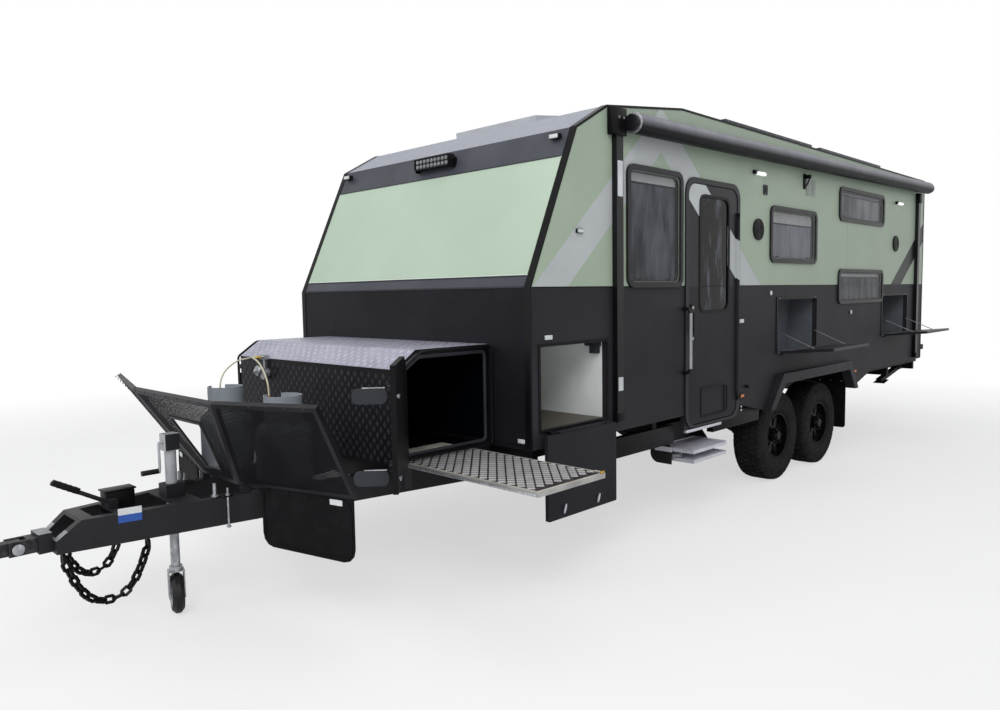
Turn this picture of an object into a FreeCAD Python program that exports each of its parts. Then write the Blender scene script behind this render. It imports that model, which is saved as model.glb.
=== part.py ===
import FreeCAD, Part
import math
import os
import Sketcher

# A tandem-axle off-road touring caravan, in millimetres.
# The sub-parts are laid out from the van's datum: the centreline, the outside of the lower
# front wall and the ground. X points to the entry-door side, Y to the rear and Z up.
# Every node is then placed so that the coupling's tow-pin bore is the origin.

SIZES = {
    # Whole vehicle
    "body_width": 2400, "body_length": 7150, "wall_thick": 35,
    "hitch_overhang": 2430, "hitch_height": 550,
    "seat_gap": 0.3, "swing_gap": 6, "cut_over": 20,
    # Body section: skirt, belt crease, brow, roof slope, roof, rear corner
    "skirt_height": 800, "rear_skirt_height": 840, "belt_height": 1742,
    "brow_depth": 430, "brow_height": 2700, "slope_depth": 735, "slope_height": 2870,
    "roof_front": 1620, "roof_height": 2985, "roof_corner": 180, "roof_drop": 240,
    "floor_bottom": 800, "floor_thick": 50,
    # Wheels and arches
    "front_axle": 3380, "rear_axle": 4280, "wheel_radius": 400, "tyre_width": 265,
    "wheel_outer": 1140, "rim_radius": 203, "rim_thick": 9, "tyre_shoulder": 55, "tyre_tread": 9,
    "disc_inset": 45, "disc_thick": 12, "hub_radius": 62, "hub_length": 60, "cap_radius": 42,
    "spoke_inner": 82, "spoke_outer": 178, "spoke_count": 8, "spoke_gap": 56,
    "drum_radius": 150, "drum_length": 62, "stub_radius": 28,
    "arch_front_low": 3030, "arch_front_top": 3240, "arch_rear_top": 4710,
    "arch_rear_low": 4860, "arch_low_height": 690, "arch_top_height": 895,
    "flare_width": 85, "flare_proud": 58,
    "sill_rear": 2510, "sill_height": 783, "tail_rise": 5460, "tail_rise_height": 826,
    "box_wall": 8, "box_inner": 845, "box_front": 2955, "box_rear": 4885, "box_top": 930,
    # Chassis
    "rail_inner": 500, "rail_thick": 50, "rail_bottom": 650, "rail_top": 800, "rail_tail": 70,
    "rail_front": 30, "member_depth": 50, "member_height": 90, "member_reach": 1150,
    "member_one": 60, "member_two": 1320, "member_three": 2560, "member_four": 3805,
    "member_five": 5080, "member_six_tail": 1030, "member_tail": 120,
    # Drawbar
    "tip_setback": 250, "tip_half": 118, "drawbar_rear": 420, "drawbar_rear_half": 580,
    "bar_thick": 50, "bar_bottom": 500, "bar_top": 650, "tip_chamfer_length": 110,
    "tip_chamfer_drop": 85, "head_plate_length": 170, "jockey_plate_front": 1640,
    "jockey_plate_length": 140, "plate_thick": 10, "bearer_depth": 50,
    # Coupling
    "coupling_length": 60, "coupling_half": 62, "coupling_low": 505, "coupling_high": 600,
    "roll_shaft_radius": 24, "yoke_cheek": 16,
    "yoke_height": 70, "cross_pin_radius": 16, "cross_pin_head": 25, "pin_setback": 105,
    "block_half": 30, "block_height": 62, "block_nose": 42, "block_tail": 22, "tow_pin_radius": 11,
    # Jockey wheel
    "jockey_y": 1575, "jockey_x": 0, "jockey_outer_radius": 30, "jockey_inner_radius": 24,
    "jockey_tube_low": 440, "jockey_tube_high": 900, "jockey_inner_low": 262,
    "jockey_inner_high": 660,
    "jockey_head_height": 90, "jockey_head_half": 38, "jockey_wheel_radius": 110,
    "jockey_wheel_width": 62, "jockey_axle_radius": 8, "fork_thick": 6, "fork_side_gap": 5,
    "fork_crown": 238, "fork_cap_radius": 34, "castor_turn": 73, "crank_reach": 150, "crank_grip": 95,
    "crank_radius": 7, "grip_radius": 14, "clamp_height": 70, "clamp_half": 50,
    # Tool box
    "toolbox_half": 860, "toolbox_front": 710, "toolbox_bottom": 760, "toolbox_top": 1410,
    "toolbox_chamfer_length": 145, "toolbox_chamfer_drop": 100, "toolbox_skin": 5,
    "frame_lip": 40, "seal_thick": 4, "leaf_thick": 25, "leaf_bottom": 812,
    "door_axis_out": 40, "door_axis_y": 703, "leaf_front": 690, "leaf_rear": 22, "door_sill": 72,
    "leaf_top_margin": 12, "door_swing": 133, "latch_radius": 26, "latch_proud": 16,
    # Slide tray
    "tray_front": 662, "tray_rear": 150, "tray_top": 800, "tray_thick": 26,
    "tray_out": 1840, "tray_length": 1250,
    "tray_rim": 45, "catch_length": 60, "catch_width": 26, "catch_height": 6,
    # Storage bay
    "bay_front": 83, "bay_rear": 722, "bay_bottom": 906, "bay_top": 1399, "liner_wall": 10,
    "flap_margin": 13, "flap_half_turn": 180, "flap_thick": 25, "flap_axis_out": 35,
    "hinge_radius": 5, "hinge_reach": 10, "hinge_length": 60, "flap_latch_radius": 20,
    # Fold-down hatches
    "hatch_thick": 25, "hatch_proud": 15, "hatch_open": 85, "hatch_one_front": 3171,
    "hatch_one_rear": 3984, "hatch_one_bottom": 1145, "hatch_one_top": 1620,
    "hatch_two_front": 5760, "hatch_two_rear": 6580, "hatch_two_bottom": 1170,
    "hatch_two_top": 1620, "hatch_axis_rise": 2, "recess_depth": 240, "stay_radius": 4,
    "stay_reach": 285, "stay_lift": 12,
    "stay_rise": 178, "stay_inset": 60,
    # Entry door
    "door_front": 1700, "door_rear": 2430, "door_bottom": 716, "door_top": 2488,
    "door_ring": 38, "ring_proud": 12, "door_corner": 95, "door_thick": 35, "door_proud": 7,
    "door_hinge_radius": 8, "door_hinge_out": 22, "door_hinge_reach": 3,
    "door_window_front": 1868, "door_window_rear": 2288, "door_window_bottom": 1560,
    "door_window_top": 2398, "vent_bottom": 770, "vent_top": 975, "vent_depth": 6,
    "handle_length": 150, "handle_width": 46, "handle_proud": 34, "handle_height": 1400,
    # Windows
    "window_ring": 32, "window_proud": 18, "window_corner": 70, "window_lap": 10,
    "glass_thick": 12,
    "front_window_a": 940, "front_window_b": 1618, "front_window_low": 1735,
    "front_window_high": 2540, "middle_window_gap": 574, "middle_window_length": 948,
    "middle_window_low": 1934, "middle_window_high": 2414, "bed_window_gap": 536,
    "bed_window_length": 1250, "high_window_low": 2365, "high_window_high": 2698,
    "low_window_low": 1555, "low_window_high": 1900,
    # Awning
    "awning_front": 870, "awning_tail": 110, "awning_radius": 52, "awning_out": 90,
    "awning_front_height": 2770, "awning_tilt": 1.0, "arm_width": 70, "arm_thick": 38,
    "arm_low": 867, "front_arm_a": 790, "rear_arm_tail": 320, "arm_top_front": 2830,
    "arm_top_rear": 2805,
    # Stone shield
    "shield_fold_top": 500, "shield_fold_low": 200, "shield_top_y": 1572,
    "shield_low_y": 1300, "shield_top": 1190, "shield_low": 690, "wing_top_x": 1190,
    "wing_top_y": 1412, "wing_top": 1214, "wing_low_x": 1030,
    "wing_low": 712, "shield_bar": 26, "mesh_thick": 5, "shield_foot": 45,
    "shield_slot_top": 1055, "shield_slot_top_half": 200, "shield_slot_low": 745,
    "shield_slot_low_half": 100, "slot_rim": 16,
    "flap_rubber": 7, "front_flap_inner": 385, "front_flap_outer": 1015, "front_flap_low": 380,
    "flap_corner": 72, "rear_flap_corner": 30,
    # Gas bottles
    "bottle_radius": 155, "bottle_left_x": 420, "bottle_right_x": 270, "bottle_y": 1045,
    "bottle_height": 400, "bottle_shoulder": 70, "collar_radius": 105,
    "collar_height": 108, "collar_thick": 5, "collar_cut": 90, "spout_gap": 6, "bottle_plate_thick": 6,
    "valve_radius": 17, "valve_height": 62, "spout_radius": 10, "spout_road": 70,
    "spout_kerb": 150, "spout_rise": 43,
    "regulator_x": 500, "regulator_height": 1210, "regulator_radius": 38,
    "regulator_thick": 34, "inlet_height": 1320, "inlet_half": 36, "inlet_tall": 30,
    "inlet_offset": 15, "inlet_out": 20,
    # Gas hoses: corner points of their routes between the spout's top and the regulator
    "hose_radius": 5, "hose_run_in": 76,
    "road_hose_up": 1215, "road_hose_y": 935, "road_hose_z": 1302,
    "kerb_hose_up": 1202, "kerb_hose_one_x": 30, "kerb_hose_one_y": 1020,
    "kerb_hose_one_z": 1275, "kerb_hose_two_x": -100, "kerb_hose_two_y": 980,
    "kerb_hose_two_z": 1320, "kerb_hose_three_x": -240, "kerb_hose_three_y": 940,
    "kerb_hose_three_z": 1338, "kerb_hose_four_x": -368, "kerb_hose_four_y": 892,
    "kerb_hose_four_z": 1338,
    # Step
    "step_front": 1600, "step_rear": 2130, "step_outer": 1300, "step_depth": 290,
    "step_top": 560, "tread_thick": 25, "step_cheek": 8, "link_length": 190,
    "link_pivot_x": 1200, "link_pivot_drop": 45, "link_rest": 79, "link_width": 20,
    "link_thick": 6, "link_pin_radius": 5, "step_side_gap": 5, "lower_top": 490,
    "cheek_reach": 120, "cheek_low": 440, "cheek_back": 60, "cheek_round": 70,
    "lug_half": 11,
    # Stabiliser legs
    "leg_x": 985, "leg_width": 60, "leg_height": 44, "leg_length": 640, "leg_pivot_height": 734,
    "leg_front_y": 250, "leg_tail": 250, "leg_stowed": 3, "leg_lowered": 10,
    "foot_length": 150, "foot_width": 120, "foot_thick": 8,
    "leg_pin_radius": 9, "leg_bracket": 8,
    # Suspension
    "arm_pivot_ahead": 370, "arm_pivot_height": 575, "arm_inner": 690, "arm_box": 75,
    "arm_tail": 50, "pivot_boss_radius": 42, "spring_ahead": 100, "spring_radius": 62,
    "spring_floor": 515, "spring_bulge": 40, "hanger_thick": 12,
    # Rear bar, spare wheel and lamps
    "rear_bar_low": 940, "rear_bar_size": 60, "rear_bar_gap": 90, "rear_bar_half": 1190,
    "spare_height": 1290, "quarter_turn": 90, "spare_post_half": 45,
    "tail_lamp_x": 1010, "tail_lamp_half": 62, "tail_lamp_low": 1080, "tail_lamp_height": 300,
    "tail_lamp_proud": 28,
    "rear_flap_inner": 850, "rear_flap_outer": 1150, "rear_flap_low": 270,
    # Roof and front fittings
    "vent_y": 960, "vent_length": 600, "vent_half": 420, "roof_vent_rise": 75,
    "cooler_y": 3050, "cooler_length": 980, "cooler_half": 350, "cooler_rise": 190,
    "hatch_roof_y": 5150, "roof_hatch_size": 520, "roof_hatch_rise": 70,
    "panel_y": 2450, "panel_length": 1650, "panel_width": 700, "panel_out": 1090,
    "panel_rise": 40, "panel_thick": 30, "panel_pitch": 1850,
    "bar_lamp_half": 180, "bar_lamp_depth": 55, "bar_lamp_height": 75, "bar_lamp_z": 2590,
    "speaker_radius": 88, "speaker_proud": 14, "speaker_tail": 1010, "speaker_drop": 785,
    "awning_lamp_gap": 330, "awning_lamp_tail": 970, "awning_lamp_drop": 345,
    "awning_lamp_half": 62, "awning_lamp_deep": 26, "clearance_x": 1080, "clearance_z": 2635,
    "clearance_half": 36, "clearance_height": 30, "clearance_deep": 34,
    "marker_half": 30, "marker_height": 26, "marker_proud": 14, "marker_z": 845,
    "marker_one": 2520, "marker_two": 4965, "side_lamp_y": 450, "side_lamp_z": 2067,
    "grab_y": 1640, "grab_low": 1120, "grab_high": 1580, "grab_radius": 14, "grab_out": 62,
    # Chains
    "chain_wire": 13, "chain_length": 62, "chain_width": 44, "chain_pitch": 42,
    "kerb_chain_front": 2150, "kerb_chain_rear": 1777, "kerb_chain_sag": 245,
    "road_chain_front": 2090, "road_chain_rear": 1795, "road_chain_sag": 175,
    # Handbrake
    "brake_y": 1865, "brake_length": 310, "brake_radius": 11, "brake_rise": 30,
    # Water tanks
    "water_tank_height": 210, "tank_one": 1420, "tank_length": 900, "tank_two": 5180, "tank_gap": 12,
}

# Inner corner of a mitred panel joint, in wall thicknesses along Y and down Z
BELT_MITRE_SHARES = (1.0, 0.21)
BROW_MITRE_SHARES = (0.777, 0.712)
SLOPE_MITRE_SHARES = (0.319, 0.967)
ROOF_MITRE_SHARES = (0.065, 1.0)

# Proportions of parts of one size to another
CORD_ARC_SHARE = 0.45
JOCKEY_PLATE_SHARE = 1.7
BRAKE_PLATE_SHARE = 1.27
YOKE_BACK_SHARE = 0.62
FORK_TAIL_SHARE = 0.78
JOCKEY_EDGE_SHARE = 0.3
CHAMFER_INSET_SHARE = 0.36
BEAD_SHARE = 0.84
SHOULDER_SHARES = (0.9, 0.55)
SLOT_SHARES = (0.28, 0.5, 0.75, 0.34)
SPRING_WAIST_SHARE = 0.7
BOTTLE_FOOT_SHARE = 0.85
COLLAR_FOOT_SHARE = 0.85
LINK_ROUND_SHARE = 0.9
COOLER_SHARE = 0.8
SPEAKER_SHARE = 0.627
CHAIN_HANG_SHARE = 2.6
LINK_CORNER_SHARE = 0.32
ROUND_SHARES = (0.0, 0.134, 0.5, 1.0)


doc = FreeCAD.newDocument("caravan")
sheet = doc.addObject("Spreadsheet::Sheet", "sizes")
for row, (alias, value) in enumerate(SIZES.items(), start=1):
    sheet.set("A%d" % row, alias)
    sheet.set("B%d" % row, str(value))
    sheet.setAlias("B%d" % row, alias)
doc.recompute()


class Size:
    """A length, angle or share with the sheet formula that gives it."""

    def __init__(self, value, formula):
        self.value = float(value)
        self.formula = formula

    def joined(self, sign, other, value):
        return Size(value, "(%s %s %s)" % (self.formula, sign, other.formula))

    def __add__(self, other):
        other = size(other)
        return self.joined("+", other, self.value + other.value)

    def __sub__(self, other):
        other = size(other)
        return self.joined("-", other, self.value - other.value)

    def __mul__(self, other):
        other = size(other)
        return self.joined("*", other, self.value * other.value)

    def __truediv__(self, other):
        other = size(other)
        return self.joined("/", other, self.value / other.value)

    def __neg__(self):
        return Size(-self.value, "(0 - %s)" % self.formula)

    __radd__ = __add__
    __rmul__ = __mul__


def size(value):
    """A plain number as a Size; a Size stays as it is."""
    if isinstance(value, Size):
        return value
    return Size(value, "(%.10g)" % value)


def sine(angle):
    return Size(math.sin(math.radians(angle.value)), "sin(%s)" % angle.formula)


def cosine(angle):
    return Size(math.cos(math.radians(angle.value)), "cos(%s)" % angle.formula)


def slope_angle(rise, run):
    """Angle in degrees of a slope given by its rise and run."""
    formula = "(atan(%s / %s) / 1 deg)" % (rise.formula, run.formula)
    return Size(math.degrees(math.atan2(rise.value, run.value)), formula)


class Sheet:
    """Named sizes, read as attributes."""

    def __getattr__(self, alias):
        return Size(SIZES[alias], "sizes." + alias)


s = Sheet()
HALF = s.body_width / 2
INNER = HALF - s.wall_thick
ZERO = size(0)
ORIGIN = (ZERO, ZERO, ZERO)

# Rotations that carry the Z axis onto another axis
LIE = {
    "x": FreeCAD.Rotation(FreeCAD.Vector(0, 1, 0), 90),
    "y": FreeCAD.Rotation(FreeCAD.Vector(1, 0, 0), -90),
    "z": FreeCAD.Rotation(),
}
PLANES = {"xy": "XY_Plane", "xz": "XZ_Plane", "yz": "YZ_Plane"}

placed = set()
nodes = []


def place(obj, at):
    """Tie an object's position to three sizes."""
    for axis, value in zip("xyz", at):
        obj.setExpression("Placement.Base." + axis, size(value).formula)
    placed.add(obj.Name)
    return obj


def box(name, x0, x1, y0, y1, z0, z1):
    """Rectangular block between two corners."""
    x0, x1, y0, y1, z0, z1 = (size(v) for v in (x0, x1, y0, y1, z0, z1))
    block = doc.addObject("Part::Box", name)
    block.setExpression("Length", (x1 - x0).formula)
    block.setExpression("Width", (y1 - y0).formula)
    block.setExpression("Height", (z1 - z0).formula)
    return place(block, (x0, y0, z0))


def rod(name, axis, radius, start, end, at):
    """Round bar along an axis from start to end; at gives its two other coordinates."""
    start, end = size(start), size(end)
    bar = doc.addObject("Part::Cylinder", name)
    bar.setExpression("Radius", size(radius).formula)
    bar.setExpression("Height", (end - start).formula)
    bar.Placement = FreeCAD.Placement(FreeCAD.Vector(), LIE[axis])
    across = list(at)
    across.insert("xyz".index(axis), start)
    return place(bar, across)


def outline(sketch, points):
    """Closed outline; each point is (u, v) or (u, v, corner radius)."""
    points = [tuple(size(v) for v in p) for p in points]
    count = len(points)
    first = sketch.GeometryCount

    def spot(i):
        return FreeCAD.Vector(points[i % count][0].value, points[i % count][1].value, 0)

    def toward(i, j, radius):
        here = spot(i)
        step = (spot(j) - here).normalize()
        other = (spot(2 * i - j) - here).normalize()
        half = step.getAngle(other) / 2
        return here + step * (radius / math.tan(half))

    def shape(i):
        return points[i % count][2].value if len(points[i % count]) == 3 else 0

    for i in range(count):
        start = toward(i, i + 1, shape(i)) if shape(i) else spot(i)
        end = toward(i + 1, i, shape(i + 1)) if shape(i + 1) else spot(i + 1)
        sketch.addGeometry(Part.LineSegment(start, end), False)
    links = []
    for i in range(count):
        before = first + (i - 1) % count
        after = first + i
        if not shape(i):
            links.append(Sketcher.Constraint("Coincident", before, 2, after, 1))
            pin(sketch, after, 1, points[i])
            continue
        a, b = toward(i, i - 1, shape(i)), toward(i, i + 1, shape(i))
        corner = spot(i)
        middle = (a + b) * 0.5
        reach = (corner - middle).Length
        centre = middle + (middle - corner) * ((a - middle).Length ** 2 / reach ** 2)
        crown = centre + (corner - centre).normalize() * shape(i)
        start_end = (1, 2) if (crown - a).cross(b - crown).z > 0 else (2, 1)
        ends = (a, b) if start_end[0] == 1 else (b, a)
        arc = sketch.addGeometry(Part.Arc(ends[0], crown, ends[1]), False)
        vertex = sketch.addGeometry(Part.Point(corner), True)
        links.append(Sketcher.Constraint("Tangent", before, 2, arc, start_end[0]))
        links.append(Sketcher.Constraint("Tangent", arc, start_end[1], after, 1))
        links.append(Sketcher.Constraint("PointOnObject", vertex, 1, before))
        links.append(Sketcher.Constraint("PointOnObject", vertex, 1, after))
        pin(sketch, vertex, 1, points[i])
        round_off = sketch.addConstraint(Sketcher.Constraint("Radius", arc, shape(i)))
        sketch.setExpression("Constraints[%d]" % round_off, points[i][2].formula)
    sketch.addConstraint(links)


def pin(sketch, geometry, end, point):
    """Tie a sketch point to its two sizes."""
    for kind, value in (("DistanceX", point[0]), ("DistanceY", point[1])):
        index = sketch.addConstraint(Sketcher.Constraint(kind, -1, 1, geometry, end, value.value))
        sketch.setExpression("Constraints[%d]" % index, value.formula)


def drawn(body, plane, offset, outlines):
    """Sketch with closed outlines, parallel to one of the body's own planes."""
    sketch = body.newObject("Sketcher::SketchObject", body.Name + "_outline")
    planes = [f for f in body.Origin.OriginFeatures if f.Role == PLANES[plane]]
    sketch.AttachmentSupport = [(planes[0], "")]
    sketch.MapMode = "FlatFace"
    sketch.setExpression("AttachmentOffset.Base.z", size(offset).formula)
    for points in outlines:
        outline(sketch, points)
    return sketch


def panel(name, plane, start, end, *outlines):
    """Plate between two levels of the plane's axis; later outlines are holes."""
    start, end = size(start), size(end)
    body = doc.addObject("PartDesign::Body", name)
    sketch = drawn(body, plane, -end if plane == "xz" else start, outlines)
    pad = body.newObject("PartDesign::Pad", name + "_pad")
    pad.Profile = sketch
    pad.setExpression("Length", (end - start).formula)
    return body


def pocket(body, plane, start, end, *outlines):
    """Openings cut through a panel between two levels."""
    start, end = size(start), size(end)
    sketch = drawn(body, plane, -start if plane == "xz" else end, outlines)
    cut_out = body.newObject("PartDesign::Pocket", body.Name + "_pocket")
    cut_out.Profile = sketch
    cut_out.setExpression("Length", (end - start).formula)
    return cut_out


def turned(name, axis, *outlines):
    """Solid of revolution; the outline is (along, radius) for x and (radius, along) for z."""
    body = doc.addObject("PartDesign::Body", name)
    sketch = drawn(body, "xz", ZERO, outlines)
    spin = body.newObject("PartDesign::Revolution", name + "_turn")
    spin.Profile = sketch
    spin.ReferenceAxis = (sketch, ["H_Axis" if axis == "x" else "V_Axis"])
    spin.Angle = 360
    return body


def rectangle(u0, u1, v0, v1, radius=None):
    """Corner points of an upright rectangle, rounded if a radius is given."""
    corners = [(u0, v0), (u1, v0), (u1, v1), (u0, v1)]
    return [c + (radius,) for c in corners] if radius is not None else corners


def fuse(name, *parts):
    joined = doc.addObject("Part::MultiFuse", name)
    joined.Shapes = list(parts)
    joined.Refine = True
    return joined


def cut(name, base, *tools):
    result = base
    for tool in tools:
        step = doc.addObject("Part::Cut", name)
        step.Base = result
        step.Tool = tool
        result = step
    return result


def group(name, *parts):
    """Solids of one node that don't touch."""
    together = doc.addObject("Part::Compound", name)
    together.Links = list(parts)
    return together


def mirrored(name, part):
    """Copy on the other side of the centreline."""
    copy = doc.addObject("Part::Mirroring", name)
    copy.Source = part
    copy.Base = FreeCAD.Vector(0, 0, 0)
    copy.Normal = FreeCAD.Vector(1, 0, 0)
    return copy


def node(label, part, at=ORIGIN, turn=None):
    """Give a sub-part its label and its place, measured from the coupling's bore."""
    if part.Name in placed:
        part = group(label + "_group", part)
    part.Label = label
    if turn:
        axis, angle = turn
        direction = FreeCAD.Vector(*axis)
        part.Placement = FreeCAD.Placement(FreeCAD.Vector(), FreeCAD.Rotation(direction, angle.value))
        part.setExpression("Placement.Rotation.Angle", angle.formula)
    x, y, z = at
    place(part, (x, size(y) + s.hitch_overhang, size(z) - s.hitch_height))
    nodes.append(part)
    return part


def slab(name, corners, thickness, lead=ZERO):
    """Flat plate through corner points in space, thickened rearwards; lead starts it ahead."""
    spots = [FreeCAD.Vector(*(size(v).value for v in corner)) for corner in corners]
    normal = (spots[1] - spots[0]).cross(spots[2] - spots[1]).normalize()
    if normal.y < 0:
        normal = -normal
    face = Part.Face(Part.makePolygon(spots + spots[:1]))
    face.translate(normal * -lead.value)
    plate = doc.addObject("Part::Feature", name)
    plate.Shape = face.extrude(normal * (thickness + lead).value)
    return plate


def inward(corners, margin):
    """Corner points of a flat plate moved in by a margin on every side."""
    spots = [FreeCAD.Vector(*(size(v).value for v in corner)) for corner in corners]
    count = len(spots)
    moved = []
    for i, spot in enumerate(spots):
        back = (spots[i - 1] - spot).normalize()
        ahead = (spots[(i + 1) % count] - spot).normalize()
        lean = math.sin(back.getAngle(ahead))
        moved.append(tuple(spot + (back + ahead) * (margin.value / lean)))
    return moved


def pipe(name, points, radius, bend):
    """Round tube along straight runs joined by tangent arcs; bend is a radius or None."""
    spots = [FreeCAD.Vector(*(size(v).value for v in p)) for p in points]
    edges = []
    last = spots[0]
    for i in range(1, len(spots) - 1):
        back, ahead = spots[i - 1] - spots[i], spots[i + 1] - spots[i]
        half_turn = (math.pi - back.getAngle(ahead)) / 2
        shorter = min(back.Length, ahead.Length)
        arc_radius = bend.value if bend else CORD_ARC_SHARE * shorter / math.tan(half_turn)
        trim = arc_radius * math.tan(half_turn)
        a = spots[i] + back.normalize() * trim
        b = spots[i] + ahead.normalize() * trim
        inside = (a + b) * 0.5 - spots[i]
        centre = spots[i] + inside.normalize() * (arc_radius / math.cos(half_turn))
        crown = centre + (spots[i] - centre).normalize() * arc_radius
        edges.append(Part.LineSegment(last, a).toShape())
        edges.append(Part.Arc(a, crown, b).toShape())
        last = b
        if not bend:
            print(name, "arc radius %.1f" % arc_radius)
    edges.append(Part.LineSegment(last, spots[-1]).toShape())
    path = Part.Wire(edges)
    circle = Part.Circle(spots[0], (spots[1] - spots[0]).normalize(), radius.value)
    tube = doc.addObject("Part::Feature", name)
    tube.Shape = path.makePipeShell([Part.Wire(circle.toShape())], True, False)
    ideal = math.pi * radius.value ** 2 * path.Length
    if abs(tube.Shape.Volume - ideal) > 0.01 * ideal:
        raise RuntimeError(name + ": the tube's volume is not its section times its length")
    return tube


def barrel(name, axis, start, end, at, radius):
    """Hinge barrel of a leaf with the two knuckles that carry it, as two lists."""
    reach = s.hinge_length / 2
    leaf = rod(name + "_barrel", axis, radius, start + reach + s.seat_gap, end - reach - s.seat_gap, at)
    low = rod(name + "_knuckle_low", axis, radius, start, start + reach, at)
    high = rod(name + "_knuckle_high", axis, radius, end - reach, end, at)
    return leaf, low, high


def section():
    """Outer and inner corners of the body's front and roof, from the skirt back."""
    t = s.wall_thick

    def inner(y, z, shares):
        return (y + t * shares[0], z - t * shares[1])

    outer = [(ZERO, s.skirt_height), (ZERO, s.belt_height), (s.brow_depth, s.brow_height),
             (s.slope_depth, s.slope_height), (s.roof_front, s.roof_height)]
    within = [(t, s.skirt_height),
              inner(ZERO, s.belt_height, BELT_MITRE_SHARES),
              inner(s.brow_depth, s.brow_height, BROW_MITRE_SHARES),
              inner(s.slope_depth, s.slope_height, SLOPE_MITRE_SHARES),
              inner(s.roof_front, s.roof_height, ROOF_MITRE_SHARES)]
    return outer, within


def shell():
    """Floor, front walls, roof and rear wall between the side walls."""
    outer, within = section()
    t = s.wall_thick
    node("front_wall_lower", panel("front_wall_lower", "yz", -INNER, INNER,
                                   [outer[0], outer[1], within[1], within[0]]))
    node("front_wall_upper", panel("front_wall_upper", "yz", -INNER, INNER,
                                   [outer[1], outer[2], within[2], within[1]]))
    eaves = s.roof_height - s.roof_drop
    roof = [outer[2], outer[3], outer[4],
            (s.body_length, s.roof_height, s.roof_corner), (s.body_length, eaves),
            (s.body_length - t, eaves), (s.body_length - t, s.roof_height - t, s.roof_corner - t),
            within[4], within[3], within[2]]
    node("roof", panel("roof", "yz", -INNER, INNER, roof))
    rear = box("rear_wall_panel", -INNER, INNER, s.body_length - t, s.body_length,
               s.rear_skirt_height, eaves)
    node("rear_wall", rear)
    notch_a, notch_b, notch_x = s.box_front, s.box_rear, s.box_inner
    floor = panel("floor_panel", "xy", s.floor_bottom, s.floor_bottom + s.floor_thick,
                  [(-INNER, t), (INNER, t), (INNER, notch_a), (notch_x, notch_a),
                   (notch_x, notch_b), (INNER, notch_b), (INNER, s.body_length - t),
                   (-INNER, s.body_length - t), (-INNER, notch_b), (-notch_x, notch_b),
                   (-notch_x, notch_a), (-INNER, notch_a)])
    node("floor", fuse("floor_with_boxes", floor, *wheel_boxes(), *tanks()))


def side_outline(doorway):
    """Outline of a side wall in Y and Z."""
    lower = [(ZERO, s.skirt_height)]
    if doorway:
        drop = s.door_bottom - s.door_ring / 2
        lower += [(s.door_front - s.door_ring, s.skirt_height), (s.door_front - s.door_ring, drop),
                  (s.door_rear + s.door_ring, drop)]
    lower += [(s.sill_rear, s.sill_height),
              (s.arch_front_low - s.flare_width, s.arch_low_height),
              (s.arch_front_low, s.arch_low_height), (s.arch_front_top, s.arch_top_height),
              (s.arch_rear_top, s.arch_top_height), (s.arch_rear_low, s.arch_low_height),
              (s.arch_rear_low + s.flare_width, s.arch_low_height),
              (s.tail_rise, s.tail_rise_height)]
    return lower + [(s.body_length, s.rear_skirt_height),
                    (s.body_length, s.roof_height, s.roof_corner),
                    (s.roof_front, s.roof_height), (s.slope_depth, s.slope_height),
                    (s.brow_depth, s.brow_height), (ZERO, s.belt_height)]


def windows():
    """Name and outline limits of each window, kerb side first, then road side."""
    front = ("front", s.front_window_a, s.front_window_b, s.front_window_low, s.front_window_high)
    a = s.door_rear + s.middle_window_gap
    b = a + s.middle_window_length
    middle = ("middle", a, b, s.middle_window_low, s.middle_window_high)
    bed_a = b + s.bed_window_gap
    bed_b = bed_a + s.bed_window_length
    high = ("high", bed_a, bed_b, s.high_window_low, s.high_window_high)
    low = ("low", bed_a, bed_b, s.low_window_low, s.low_window_high)
    return {"kerb": [front, middle, high, low], "road": [front, middle, low]}


def side_walls():
    """Both side walls with their openings."""
    hatches = [rectangle(s.hatch_one_front, s.hatch_one_rear, s.hatch_one_bottom, s.hatch_one_top),
               rectangle(s.hatch_two_front, s.hatch_two_rear, s.hatch_two_bottom, s.hatch_two_top)]
    bay = rectangle(s.bay_front, s.bay_rear, s.bay_bottom, s.bay_top)
    door = rectangle(s.door_front, s.door_rear, s.door_bottom, s.door_top, s.door_corner)
    lap = s.window_ring + s.window_lap
    corner = s.window_corner - lap / 2
    for side, start, end in (("kerb", INNER, HALF), ("road", -HALF, -INNER)):
        holes = [bay]
        if side == "kerb":
            holes += hatches + [door]
        for name, a, b, low, high in windows()[side]:
            holes.append(rectangle(a + lap, b - lap, low + lap, high - lap, corner))
        wall = panel("side_wall_" + side, "yz", start, end, side_outline(side == "kerb"))
        pocket(wall, "yz", start - s.cut_over, end + s.cut_over, *holes)
        node("side_wall_" + side, wall)


def glazing():
    """Window frames on the walls' outer faces and the panes inside them."""
    frames = []
    panes = []
    ring = s.window_ring
    fit = ring + s.seat_gap
    for side, rows in windows().items():
        for name, a, b, low, high in rows:
            where = side + "_" + name
            x0, x1 = HALF, HALF + s.window_proud
            g0, g1 = HALF, HALF + s.glass_thick
            if side == "road":
                x0, x1, g0, g1 = -x1, -x0, -g1, -g0
            frames.append(panel("frame_" + where, "yz", x0, x1,
                                rectangle(a, b, low, high, s.window_corner),
                                rectangle(a + ring, b - ring, low + ring, high - ring,
                                          s.window_corner - ring)))
            panes.append(panel("pane_" + where, "yz", g0, g1,
                               rectangle(a + fit, b - fit, low + fit, high - fit,
                                         s.window_corner - fit)))
    node("window_frames", group("window_frame_set", *frames, door_ring()))
    node("window_glass", group("window_glass_set", *panes))


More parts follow.
